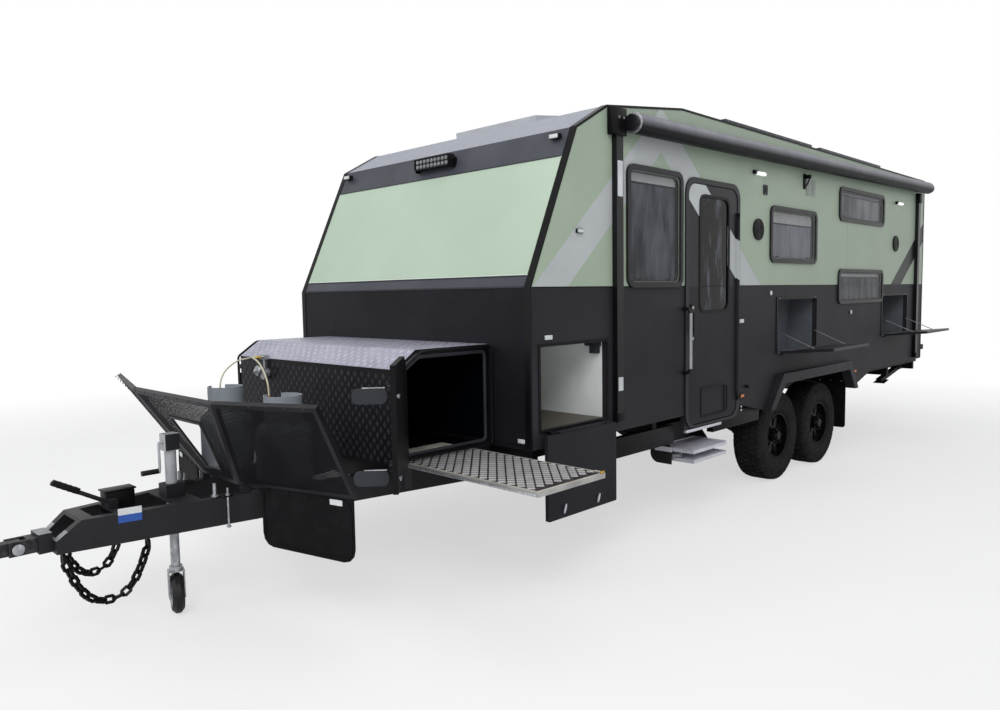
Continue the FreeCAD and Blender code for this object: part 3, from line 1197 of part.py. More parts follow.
def shield_slot(fold_top, fold_low):
    """Corners of the slot in the middle panel that lets the jockey wheel's mast swing by."""
    def at(x, z):
        share = (z - fold_low[2]) / (fold_top[2] - fold_low[2])
        return (x, fold_low[1] + (fold_top[1] - fold_low[1]) * share, z)

    top, low = s.shield_slot_top_half, s.shield_slot_low_half
    return [at(-top, s.shield_slot_top), at(top, s.shield_slot_top),
            at(low, s.shield_slot_low), at(-low, s.shield_slot_low)]


def stone_shield():
    """Swept stone shield: three leaning frames with mesh, standing on the drawbar."""
    fold_top, fold_low, wing_top, wing_low = shield_corners()

    def other(corner):
        return (-corner[0], corner[1], corner[2])

    panels = {"middle": [other(fold_top), fold_top, fold_low, other(fold_low)],
              "kerb": [fold_top, wing_top, wing_low, fold_low]}
    frames = []
    meshes = []
    for name, corners in panels.items():
        hole = inward(corners, s.shield_bar)
        plate = slab("shield_plate_" + name, corners, s.shield_bar)
        tool = slab("shield_hole_" + name, hole, s.shield_bar + s.cut_over, s.cut_over)
        frame = cut("shield_frame_" + name, plate, tool)
        mesh = slab("shield_mesh_" + name, inward(corners, s.shield_bar + s.seat_gap), s.mesh_thick)
        if name == "middle":
            slot = shield_slot(fold_top, fold_low)
            rim = cut("shield_slot_rim", slab("slot_rim_plate", slot, s.shield_bar / 2),
                      slab("slot_rim_hole", inward(slot, s.slot_rim), s.shield_bar + s.cut_over,
                           s.cut_over))
            frames.append(rim)
            mesh = cut("shield_mesh_slotted", mesh,
                       slab("mesh_slot_hole", inward(slot, -s.seat_gap), s.shield_bar + s.cut_over,
                            s.cut_over))
        frames.append(frame)
        meshes.append(mesh)
        if name == "kerb":
            frames.append(mirrored("shield_frame_road", frame))
            meshes.append(mirrored("shield_mesh_road", mesh))
    foot = box("shield_foot_kerb", s.shield_fold_low + s.shield_foot / 2,
               s.shield_fold_low + s.shield_foot * 3 / 2, -s.shield_low_y,
               -s.shield_low_y + s.shield_foot, s.bar_top, s.shield_low + s.shield_bar / 2)
    node("stone_shield", fuse("stone_shield_frame", *frames, foot,
                              mirrored("shield_foot_road", foot)))
    node("stone_shield_mesh", group("shield_mesh_set", *meshes))


def mud_flaps():
    """Rubber flaps below the stone shield and behind the rear wheels."""
    start, end = shield_corners()[1], shield_corners()[3]

    def along(x, z=None):
        share = (x - start[0]) / (size(end[0]) - start[0])
        y = start[1] + (size(end[1]) - start[1]) * share
        top = start[2] + (size(end[2]) - start[2]) * share
        return (x, y, top - s.seat_gap if z is None else z)

    a, b = s.front_flap_inner, s.front_flap_outer
    r, low = s.flap_corner, s.front_flap_low
    steps = list(zip(ROUND_SHARES, ROUND_SHARES[::-1]))
    corners = [along(a), along(b)]
    corners += [along(b - r * across, low + r * up) for across, up in steps]
    corners += [along(a + r * across, low + r * up) for across, up in steps[::-1]]
    front = slab("front_flap_kerb", corners, s.flap_rubber)
    flap = panel("rear_rubber_kerb", "xz", s.box_rear, s.box_rear + s.flap_rubber,
                 [(s.rear_flap_inner, s.rear_flap_low, s.rear_flap_corner),
                  (s.rear_flap_outer, s.rear_flap_low, s.rear_flap_corner),
                  (s.rear_flap_outer, s.floor_bottom), (s.rear_flap_inner, s.floor_bottom)])
    node("mud_flaps", group("mud_flap_set", front, mirrored("front_flap_road", front), flap,
                            mirrored("rear_flap_road", flap)))


def bottle_plate():
    """Plate across the drawbar's rails under the gas bottles."""
    return box("bottle_plate_sheet", -s.bottle_left_x - s.bottle_radius,
               s.bottle_right_x + s.bottle_radius, -s.bottle_y - s.bottle_radius,
               -s.bottle_y + s.bottle_radius, s.bar_top, s.bar_top + s.bottle_plate_thick)


def gas_bottles():
    """Two gas bottles with their valves, and the regulator on the tool box."""
    r = s.bottle_radius
    z0 = s.bar_top + s.bottle_plate_thick
    top = z0 + s.bottle_height
    neck = s.valve_radius * 2
    body = turned("bottle_body", "z",
                  [(ZERO, z0), (r * BOTTLE_FOOT_SHARE, z0),
                   (r, z0 + s.bottle_shoulder / 2, s.bottle_shoulder / 2),
                   (r, top - s.bottle_shoulder, s.bottle_shoulder), (neck, top), (ZERO, top)])
    foot = top - s.bottle_shoulder * COLLAR_FOOT_SHARE
    collar = turned("bottle_collar", "z",
                    [(s.collar_radius - s.collar_thick, foot), (s.collar_radius, foot),
                     (s.collar_radius, top + s.collar_height),
                     (s.collar_radius - s.collar_thick, top + s.collar_height)])
    window = box("collar_window", -s.collar_radius * 2, ZERO, -s.collar_cut / 2,
                 s.collar_cut / 2, top + s.spout_gap, top + s.collar_height + s.cut_over)
    one = fuse("bottle", body, cut("bottle_collar_cut", collar, window))
    valve_parts = []
    bottles = []
    for name, x in (("road", -s.bottle_left_x), ("kerb", s.bottle_right_x)):
        copy = group("bottle_at_" + name, one)
        place(copy, (x, -s.bottle_y, ZERO))
        bottles.append(copy)
        stem = rod("valve_stem_" + name, "z", s.valve_radius, top + s.seat_gap,
                   top + s.valve_height, (x, -s.bottle_y))
        out, outlet_z = spout_end(name)
        spout = rod("valve_spout_" + name, "x", s.spout_radius, out, x, (-s.bottle_y, outlet_z))
        elbow = rod("valve_elbow_" + name, "z", s.spout_radius, outlet_z,
                    outlet_z + s.spout_rise - s.seat_gap, (out, -s.bottle_y))
        valve_parts.append(fuse("valve_" + name, stem, spout, elbow))
    wall = -s.toolbox_front
    body_z = s.regulator_height
    case = rod("regulator_case", "y", s.regulator_radius, wall - s.regulator_thick, wall,
               (-s.regulator_x, body_z))
    inlet_z = s.inlet_height
    block = box("changeover_block", -s.regulator_x - s.inlet_half, -s.regulator_x + s.inlet_half,
                wall - s.regulator_thick, wall, inlet_z - s.inlet_tall / 2,
                inlet_z + s.inlet_tall / 2)
    neck_part = rod("regulator_neck", "z", s.spout_radius, body_z, inlet_z,
                    (-s.regulator_x, wall - s.regulator_thick / 2))
    inlets = [rod("regulator_inlet_" + side, "y", s.spout_radius,
                  wall - s.regulator_thick - s.inlet_out, wall - s.regulator_thick,
                  (-s.regulator_x + offset, inlet_z))
              for side, offset in (("road", -s.inlet_offset), ("kerb", s.inlet_offset))]
    valve_parts.append(fuse("regulator", case, block, neck_part, *inlets))
    node("gas_bottles", group("gas_bottle_set", *bottles, *valve_parts))


def spout_end(side):
    """X of a gas valve's elbow and Z of its outlet."""
    x = -s.bottle_left_x - s.spout_road if side == "road" else s.bottle_right_x - s.spout_kerb
    base = s.bar_top + s.bottle_plate_thick + s.bottle_height
    return x, base + s.valve_height / 2


def gas_hoses():
    """Hoses from the two gas valves up to the changeover block of the regulator."""
    y = -s.bottle_y
    end_y = -s.toolbox_front - s.regulator_thick - s.inlet_out - s.seat_gap
    z = s.inlet_height
    out, outlet_z = spout_end("road")
    inlet = -s.regulator_x - s.inlet_offset
    road = [(out, y, outlet_z + s.spout_rise), (out, y, s.road_hose_up),
            (inlet, -s.road_hose_y, s.road_hose_z), (inlet, end_y - s.hose_run_in, z),
            (inlet, end_y, z)]
    node("gas_hose_road", pipe("hose_road", road, s.hose_radius, None))
    out = spout_end("kerb")[0]
    inlet = -s.regulator_x + s.inlet_offset
    kerb = [(out, y, outlet_z + s.spout_rise), (out, y, s.kerb_hose_up),
            (s.kerb_hose_one_x, -s.kerb_hose_one_y, s.kerb_hose_one_z),
            (s.kerb_hose_two_x, -s.kerb_hose_two_y, s.kerb_hose_two_z),
            (s.kerb_hose_three_x, -s.kerb_hose_three_y, s.kerb_hose_three_z),
            (s.kerb_hose_four_x, -s.kerb_hose_four_y, s.kerb_hose_four_z),
            (inlet, end_y - s.hose_run_in, z), (inlet, end_y, z)]
    node("gas_hose_kerb", pipe("hose_kerb", kerb, s.hose_radius, None))


def chain_spots(start, end, sag):
    """Centre and direction of each link of a hanging chain, both ends hooked at one height."""
    count = 400
    span = end - start
    path = [start + span * (i / count)
            - FreeCAD.Vector(0, 0, sag * (1 - abs(2 * i / count - 1) ** CHAIN_HANG_SHARE))
            for i in range(count + 1)]
    runs = [(b - a).Length for a, b in zip(path, path[1:])]
    links = round(sum(runs) / s.chain_pitch.value)
    step = sum(runs) / links
    spots = []
    for k in range(1, links):
        left, i = k * step, 0
        while left > runs[i]:
            left -= runs[i]
            i += 1
        spots.append((path[i] + (path[i + 1] - path[i]) * (left / runs[i]), path[i + 1] - path[i]))
    down = FreeCAD.Vector(0, 0, -1)
    return [(start, down)] + spots + [(end, -down)]


def safety_chains():
    """Two safety chains that hang below the drawbar, hooked up at both ends."""
    half, wide = s.chain_length / 2, s.chain_width / 2
    trim = s.chain_width * LINK_CORNER_SHARE
    wire = s.chain_wire

    def ring(inset):
        a, b, c = half - inset, wide - inset, trim - inset / 2
        return [(a, b - c), (a - c, b), (c - a, b), (-a, b - c), (-a, c - b), (c - a, -b),
                (a - c, -b), (a, c - b)]

    link = panel("chain_link", "xz", -wire / 2, wire / 2, ring(ZERO), ring(wire))
    link.recompute(True)
    chains = []
    top = s.bar_bottom - s.seat_gap - half
    lean = (s.drawbar_rear_half - s.tip_half) / (s.drawbar_rear + s.hitch_overhang - s.tip_setback)
    for side, sign, front, rear, sag in (
            ("kerb", 1, s.kerb_chain_front, s.kerb_chain_rear, s.kerb_chain_sag),
            ("road", -1, s.road_chain_front, s.road_chain_rear, s.road_chain_sag)):
        ends = []
        for y in (-front, -rear):
            x = s.tip_half - s.bar_thick / 2 + lean * (y + s.hitch_overhang - s.tip_setback)
            ends.append(FreeCAD.Vector((x * sign).value, y.value, top.value))
        shapes = []
        for k, (spot, ahead) in enumerate(chain_spots(*ends, sag.value)):
            turn = FreeCAD.Rotation(FreeCAD.Vector(1, 0, 0), ahead)
            roll = FreeCAD.Rotation(FreeCAD.Vector(1, 0, 0), s.quarter_turn.value * (k % 2))
            shape = link.Shape.copy()
            shape.Placement = FreeCAD.Placement(spot, turn * roll)
            shapes.append(shape)
        chain = doc.addObject("Part::Feature", "chain_" + side)
        chain.Shape = shapes[0].multiFuse(shapes[1:])
        chains.append(chain)
    node("safety_chains", group("chain_set", *chains))


def entry_step():
    """Double step: fixed upper tread on cheeks, two swinging links and a lower tread."""
    y0, y1 = s.step_front, s.step_rear
    c = s.step_cheek
    x1 = s.step_outer
    x0 = x1 - s.step_depth
    top = s.step_top
    under = s.rail_top - s.member_height
    link_y = c + s.step_side_gap
    tread_y = link_y + s.link_thick + s.step_side_gap
    tread = box("upper_tread", x0, x1, y0 + tread_y, y1 - tread_y, top - s.tread_thick, top)
    back = box("step_back", x0 - c, x0, y0, y1, top - s.tread_thick, under)
    cheeks = [panel("step_cheek_" + name, "xz", y, y + c,
                    [(x0 - s.cheek_back, under), (x0 - s.cheek_back, s.cheek_low, s.cheek_round),
                     (x0 + s.cheek_reach, s.cheek_low), (x0 + s.cheek_reach, top), (x0, under)])
              for name, y in (("front", y0), ("rear", y1 - c))]
    hanger = box("step_hanger", s.rail_inner + s.rail_thick, x0, y0, y1, under - c, under)
    pivot_x, pivot_z = s.link_pivot_x, top - s.link_pivot_drop
    lugs = []
    for name, ya, yb, side in (("front", y0 + tread_y, y0 + tread_y + c, y0 + link_y - s.seat_gap),
                               ("rear", y1 - tread_y - c, y1 - tread_y, y1 - link_y + s.seat_gap)):
        lugs.append(box("step_lug_" + name, pivot_x - s.lug_half, pivot_x + s.lug_half, ya, yb,
                        pivot_z - s.lug_half, top - s.tread_thick))
        first, last = (side, yb) if name == "front" else (ya, side)
        lugs.append(rod("step_pin_" + name, "y", s.link_pin_radius, first, last,
                        (pivot_x, pivot_z)))
    node("entry_step", fuse("entry_step_fixed", tread, back, hanger, *cheeks, *lugs))
    half = s.link_width / 2
    ends = half * LINK_ROUND_SHARE
    links = []
    for name, ya in (("front", y0 + link_y), ("rear", y1 - link_y - s.link_thick)):
        yb = ya + s.link_thick
        bar = panel("step_link_" + name, "xz", ya, yb,
                    [(-half, half, ends), (-half, -s.link_length - half, ends),
                     (half, -s.link_length - half, ends), (half, half, ends)])
        eye = rod("step_link_eye_" + name, "y", s.link_pin_radius + s.seat_gap, ya - c, yb + c,
                  (ZERO, ZERO))
        links.append(cut("step_link_bored_" + name, bar, eye))
    cross = rod("step_link_cross", "y", s.link_pin_radius, y0 + link_y, y1 - link_y,
                (ZERO, -s.link_length))
    node("step_links", fuse("step_link_pair", cross, *links), (pivot_x, ZERO, pivot_z),
         ((0, 1, 0), s.link_rest))
    pin_x = pivot_x - s.link_length * sine(s.link_rest)
    pin_z = pivot_z - s.link_length * cosine(s.link_rest)
    lower = box("lower_tread", x0 - pin_x, x1 - pin_x, y0 + tread_y, y1 - tread_y,
                s.lower_top - s.tread_thick - pin_z, s.lower_top - pin_z)
    bore = rod("lower_tread_bore", "y", s.link_pin_radius + s.seat_gap, y0, y1, (ZERO, ZERO))
    node("step_lower_tread", cut("lower_tread_bored", lower, bore), (pin_x, ZERO, pin_z))


def legs():
    """Drop-down stabiliser legs at the four corners."""
    half = s.leg_height / 2
    t = s.leg_bracket / 2
    w = s.leg_width
    for end, y, sign in (("front", s.leg_front_y, 1),
                         ("rear", s.body_length - s.leg_tail, -1)):
        length = s.leg_length
        beam = box("leg_bar_" + end, ZERO, w, -half if sign > 0 else -length,
                   length if sign > 0 else half, -half, half)
        a, b = (length - s.foot_length, length) if sign > 0 else (-length, -length + s.foot_length)
        foot = box("leg_foot_" + end, w / 2 - s.foot_width / 2, w / 2 + s.foot_width / 2, a, b,
                   -half - s.foot_thick, -half)
        hollow = box("leg_hollow_" + end, t, w - t, (-half if sign > 0 else -length) - t,
                     (length if sign > 0 else half) + t, -half - t, half - t)
        hole = rod("leg_hole_" + end, "x", s.leg_pin_radius + s.seat_gap, -s.cut_over,
                   w + s.cut_over, (ZERO, ZERO))
        leg = fuse("leg_" + end, cut("leg_channel_" + end, beam, hollow, hole), foot)
        for side_name in ("kerb", "road"):
            copy = group("leg_copy_%s_%s" % (end, side_name), leg)
            x = s.leg_x
            lean = s.leg_stowed
            if side_name == "kerb" and end == "rear":
                lean = s.leg_lowered
            if side_name == "road":
                copy = mirrored("leg_mirror_" + end, copy)
                x = -s.leg_x
            node("leg_%s_%s" % (end, side_name), copy, (x, y, s.leg_pivot_height),
                 ((-1 if sign > 0 else 1, 0, 0), lean))


def rear_end():
    """Rear bar with the spare wheel's post; returns the tail lamps."""
    q = s.rear_bar_size
    y0 = s.body_length + s.rear_bar_gap
    z0 = s.rear_bar_low
    bar = box("rear_bar_beam", -s.rear_bar_half, s.rear_bar_half, y0, y0 + q, z0, z0 + q)
    end = box("rear_bar_end", s.rear_bar_half - q, s.rear_bar_half, s.body_length, y0 + q, z0,
              z0 + q)
    post = box("spare_post", -s.spare_post_half, s.spare_post_half, y0, y0 + q, z0,
               s.spare_height + s.spare_post_half)
    arm = box("rear_bar_arm", s.rail_inner, s.rail_inner + q, s.body_length, y0 + q, z0, z0 + q)
    reach = s.tyre_width / 2 + s.tyre_width / 2 * BEAD_SHARE - s.disc_inset
    stub = rod("spare_stub", "y", s.stub_radius, y0 + q, y0 + q + reach, (ZERO, s.spare_height))
    node("rear_bar", fuse("rear_bar_fused", bar, end, mirrored("rear_bar_end_road", end), post,
                          arm, mirrored("rear_bar_arm_road", arm), stub))
    lamp = box("tail_lamp_kerb", s.tail_lamp_x - s.tail_lamp_half, s.tail_lamp_x + s.tail_lamp_half,
               s.body_length, s.body_length + s.tail_lamp_proud, s.tail_lamp_low,
               s.tail_lamp_low + s.tail_lamp_height)
    return [lamp, mirrored("tail_lamp_road", lamp)]


def roof_fittings():
    """Front vent, cooler, roof hatch and solar panels."""
    top = s.roof_height
    rise, run = s.roof_height - s.slope_height, s.roof_front - s.slope_depth
    lean = slope_angle(rise, run)
    vent = box("front_vent", -s.vent_half, s.vent_half, ZERO, s.vent_length, ZERO, s.roof_vent_rise)
    cooler = panel("cooler_case", "xz", s.cooler_y, s.cooler_y + s.cooler_length,
                   [(-s.cooler_half, top), (s.cooler_half, top),
                    (s.cooler_half * COOLER_SHARE, top + s.cooler_rise, s.roof_vent_rise),
                    (-s.cooler_half * COOLER_SHARE, top + s.cooler_rise, s.roof_vent_rise)])
    half = s.roof_hatch_size / 2
    hatch_case = box("roof_hatch", -half, half, s.hatch_roof_y, s.hatch_roof_y + s.roof_hatch_size,
                     top, top + s.roof_hatch_rise)
    place_vent = group("front_vent_place", vent)
    place_vent.Placement = FreeCAD.Placement(
        FreeCAD.Vector(), FreeCAD.Rotation(FreeCAD.Vector(1, 0, 0), lean.value))
    place_vent.setExpression("Placement.Rotation.Angle", lean.formula)
    place(place_vent, (ZERO, s.vent_y, s.slope_height + rise * ((s.vent_y - s.slope_depth) / run)))
    panels = []
    for i in range(2):
        y = s.panel_y + s.panel_pitch * i
        x1 = s.panel_out
        x0 = x1 - s.panel_width
        z = top + s.panel_rise
        sheet_part = box("solar_sheet_%d" % i, x0, x1, y, y + s.panel_length, z, z + s.panel_thick)
        feet = []
        for edge, a in (("in", x0), ("out", x1 - s.panel_rise)):
            feet.append(box("solar_foot_%s_%d" % (edge, i), a, a + s.panel_rise, y,
                            y + s.panel_length, top, z))
        panels.append(fuse("solar_panel_%d" % i, sheet_part, *feet))
    node("roof_fittings", group("roof_fitting_set", place_vent, cooler, hatch_case, *panels))


def awning():
    """Rolled awning in its cassette with the two folded support arms."""
    length = s.body_length - s.awning_tail - s.awning_front
    roll = rod("awning_roll", "y", s.awning_radius, ZERO, length, (ZERO, ZERO))
    back = box("awning_back", -s.awning_out, ZERO, ZERO, length, ZERO, s.arm_thick)
    case = group("awning_case_tilted", fuse("awning_case", roll, back))
    case.Placement = FreeCAD.Placement(
        FreeCAD.Vector(), FreeCAD.Rotation(FreeCAD.Vector(1, 0, 0), s.awning_tilt.value))
    case.setExpression("Placement.Rotation.Angle", s.awning_tilt.formula)
    place(case, (HALF + s.awning_out, s.awning_front, s.awning_front_height))
    arms = []
    for name, y, top in (("front", s.front_arm_a, s.arm_top_front),
                         ("rear", s.body_length - s.rear_arm_tail, s.arm_top_rear)):
        arms.append(box("awning_arm_" + name, HALF, HALF + s.arm_thick, y, y + s.arm_width,
                        s.arm_low, top))
    node("awning", group("awning_set", case, *arms))


def body_fittings():
    """Lamps all round, and the speakers and grab handle of the kerb side."""
    slope = s.brow_depth / (s.brow_height - s.belt_height)
    y = slope * (s.bar_lamp_z - s.belt_height)
    bar = box("light_bar_case", -s.bar_lamp_half, s.bar_lamp_half, y - s.bar_lamp_depth,
              y - s.seat_gap, s.bar_lamp_z, s.bar_lamp_z + s.bar_lamp_height)
    y = slope * (s.clearance_z - s.belt_height)
    clearance = box("clearance_lamp_kerb", s.clearance_x - s.clearance_half,
                    s.clearance_x + s.clearance_half, y - s.clearance_deep, y - s.seat_gap,
                    s.clearance_z, s.clearance_z + s.clearance_height)
    discs = [rod("speaker_" + name, "x", s.speaker_radius, HALF, HALF + s.speaker_proud,
                 (at, s.roof_height - s.speaker_drop))
             for name, at in (("front", s.door_rear + s.middle_window_gap * SPEAKER_SHARE),
                              ("rear", s.body_length - s.speaker_tail))]
    lamp_z = s.roof_height - s.awning_lamp_drop
    strips = [box("awning_lamp_" + name, HALF, HALF + s.awning_lamp_deep,
                  at - s.awning_lamp_half, at + s.awning_lamp_half, lamp_z,
                  lamp_z + s.awning_lamp_deep)
              for name, at in (("front", s.door_rear + s.awning_lamp_gap),
                               ("rear", s.body_length - s.awning_lamp_tail))]
    markers = [box("marker_" + name, HALF, HALF + s.marker_proud, at - s.marker_half,
                   at + s.marker_half, z, z + s.marker_height)
               for name, at, z in (("front", s.marker_one, s.marker_z),
                                   ("rear", s.marker_two, s.marker_z),
                                   ("brow", s.side_lamp_y, s.side_lamp_z))]
    markers += [mirrored(marker.Name + "_road", marker) for marker in markers]
    out = HALF + s.grab_out
    grab = pipe("grab_rail", [(HALF, s.grab_y, s.grab_low), (out, s.grab_y, s.grab_low),
                              (out, s.grab_y, s.grab_high), (HALF, s.grab_y, s.grab_high)],
                s.grab_radius, s.grab_radius * 2)
    node("body_fittings", group("body_fitting_set", bar, clearance,
                                mirrored("clearance_lamp_road", clearance),
                                grab, *discs, *strips, *markers,
                                *rear_end()))


def tanks():
    """Water tanks hung under the floor, between the chassis rails."""
    half = s.rail_inner - s.tank_gap
    return [box("tank_" + name, -half, half, y, y + s.tank_length,
                s.floor_bottom - s.water_tank_height, s.floor_bottom)
            for name, y in (("front", s.tank_one), ("rear", s.tank_two))]


def handbrake():
    """Hand brake lever on the drawbar's deck."""
    y = -s.brake_y
    base = box("brake_base", -s.brake_radius * 3, s.brake_radius * 3, y - s.brake_radius * 4, y,
               s.bar_top, s.bar_top + s.brake_radius * 4)
    reach = s.tip_half * BRAKE_PLATE_SHARE
    bearer = box("brake_bearer", -reach, reach, y - s.brake_radius * 4, y,
                 s.bar_top - s.plate_thick, s.bar_top)
    lever = rod("brake_lever", "y", s.brake_radius, -s.brake_length, ZERO, (ZERO, ZERO))
    lever_at = group("brake_lever_at", lever)
    lever_at.Placement = FreeCAD.Placement(
        FreeCAD.Vector(), FreeCAD.Rotation(FreeCAD.Vector(1, 0, 0), -s.brake_rise.value))
    place(lever_at, (ZERO, y - s.brake_radius * 2, s.bar_top + s.brake_radius * 2))
    return fuse("handbrake", base, bearer, lever_at)


def check_and_export():
    """Every object is sound, every sub-part is a valid solid; then write the pieces."""
    doc.recompute()
    for obj in doc.Objects:
        if "Invalid" in obj.State or "Error" in obj.State:
            raise RuntimeError("%s (%s) failed: %s" % (obj.Label, obj.Name, obj.State))
        if obj.TypeId == "PartDesign::Pocket" and obj.BaseFeature:
            if obj.Shape.Volume >= obj.BaseFeature.Shape.Volume:
                raise RuntimeError(obj.Label + " cuts nothing")
    os.makedirs("parts", exist_ok=True)
    for part in nodes:
        if part.Shape.isNull() or not part.Shape.isValid() or not part.Shape.Solids:
            raise RuntimeError(part.Label + " has no valid shape")
    for part in nodes:
        part.Shape.exportStep("parts/%s.step" % part.Label)
    print(len(nodes), "nodes")


shell()
side_walls()
glazing()
arch_flares()
chassis()
drawbar()
coupling()
jockey()
toolbox()
slide_tray()
hinges()
wheels()
suspension()
stone_shield()
mud_flaps()
gas_bottles()
gas_hoses()
safety_chains()
entry_step()
legs()
roof_fittings()
awning()
body_fittings()
check_and_export()
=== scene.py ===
import bmesh
import bpy
import math
from functools import reduce
from mathutils import Matrix, Vector


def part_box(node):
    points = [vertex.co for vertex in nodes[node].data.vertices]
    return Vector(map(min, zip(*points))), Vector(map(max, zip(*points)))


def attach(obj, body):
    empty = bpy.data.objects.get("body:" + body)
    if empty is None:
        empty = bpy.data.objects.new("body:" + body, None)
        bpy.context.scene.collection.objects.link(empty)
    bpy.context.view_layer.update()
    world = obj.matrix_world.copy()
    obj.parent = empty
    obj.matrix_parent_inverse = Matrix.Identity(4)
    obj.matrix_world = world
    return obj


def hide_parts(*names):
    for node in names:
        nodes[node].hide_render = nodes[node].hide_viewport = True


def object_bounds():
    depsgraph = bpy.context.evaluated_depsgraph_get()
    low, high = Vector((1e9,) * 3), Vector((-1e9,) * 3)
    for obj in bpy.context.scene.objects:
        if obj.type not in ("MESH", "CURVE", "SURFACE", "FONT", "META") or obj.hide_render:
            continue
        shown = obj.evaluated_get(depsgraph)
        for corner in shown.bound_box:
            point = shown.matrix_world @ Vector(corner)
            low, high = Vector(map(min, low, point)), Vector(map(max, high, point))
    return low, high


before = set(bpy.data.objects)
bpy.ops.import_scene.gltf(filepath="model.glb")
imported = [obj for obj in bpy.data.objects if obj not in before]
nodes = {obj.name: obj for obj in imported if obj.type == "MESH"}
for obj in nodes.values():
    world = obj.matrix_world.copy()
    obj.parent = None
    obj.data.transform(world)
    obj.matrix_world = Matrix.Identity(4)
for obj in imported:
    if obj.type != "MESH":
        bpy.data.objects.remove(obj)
cad_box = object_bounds()
scene = bpy.context.scene

# The van's own datum is on its centreline, at the front wall and the ground
SHIFT = Vector((0, 2.43, -0.55))
# Side wall's skin, belt line, the roof line's corners (along, up) and the rear wall
WALL, BELT, TAIL = 1.2, 1.742, 7.15
BROW, SLOPE, RIDGE = (0.43, 2.7), (0.735, 2.87), (1.62, 2.985)
# Openings in the side wall: two ends along the van, then bottom and top
HATCHES = ((3.171, 3.984, 1.157, 1.62), (5.76, 6.58, 1.182, 1.62))
FRONT_WINDOW, MIDDLE_WINDOW = (0.94, 1.618, 1.735, 2.54), (3.004, 3.952, 1.934, 2.414)
HIGH_WINDOW, LOW_WINDOW = (4.488, 5.738, 2.365, 2.698), (4.488, 5.738, 1.555, 1.9)
# The awning's roll: its line starts here and rises towards the rear
ROLL, ROLL_AXIS, ROLL_R = (1.29, 0.9, 2.7705), (0, 1, 0.0175), 0.066
BOTTLES = ((-0.42, -1.045), (0.27, -1.045))
JOCKEY_HUB, JOCKEY_AXLE = (0, -1.575, 0.11), (0.292372, 0.956305, 0)
BOX_FRONT = -0.71
LAMPS = ((2.76, 2.653), (6.18, 2.653))
SPEAKERS = ((2.79, 2.2), (6.14, 2.2))
SOLAR_PANELS, SOLAR_TOP = ((2.45, 4.1), (4.3, 5.95)), 3.055
STUD_CIRCLE = 0.0695
LAMP_GLOW = 0.6
FLOOR_GLOW = 0.6


def van(x, y, z):
    """A point given from the van's datum, in the row frame."""
    return Vector((x, y, z)) + SHIFT


def put(name, data):
    made = bpy.data.objects.new(name, data)
    scene.collection.objects.link(made)
    return made


# Camera, solved from the photo's straight edges
def set_camera():
    yaw, pitch, roll = (math.radians(a) for a in (44.445, -4.524, -0.919))
    ahead = Vector((-math.sin(yaw) * math.cos(pitch), math.cos(yaw) * math.cos(pitch),
                    math.sin(pitch)))
    right = Vector((math.cos(yaw), math.sin(yaw), 0))
    up = right.cross(ahead)
    right, up = (right * math.cos(roll) + up * math.sin(roll),
                 up * math.cos(roll) - right * math.sin(roll))
    data = bpy.data.cameras.new("camera")
    data.lens, data.sensor_width = 27.85, 36
    data.dof.use_dof = False
    data.clip_end = 200
    turn = Matrix((right, up, -ahead)).transposed()
    scene.camera = put("camera", data)
    scene.camera.matrix_world = Matrix.Translation(van(4.159, -3.264, 1.709)) @ turn.to_4x4()


set_camera()


# Materials
def linear(colour):
    """A colour of 0 to 255 steps as shader values."""
    return tuple(c / 255 / 12.92 if c / 255 <= 0.04045 else ((c / 255 + 0.055) / 1.055) ** 2.4
                 for c in colour) + (1.0,)


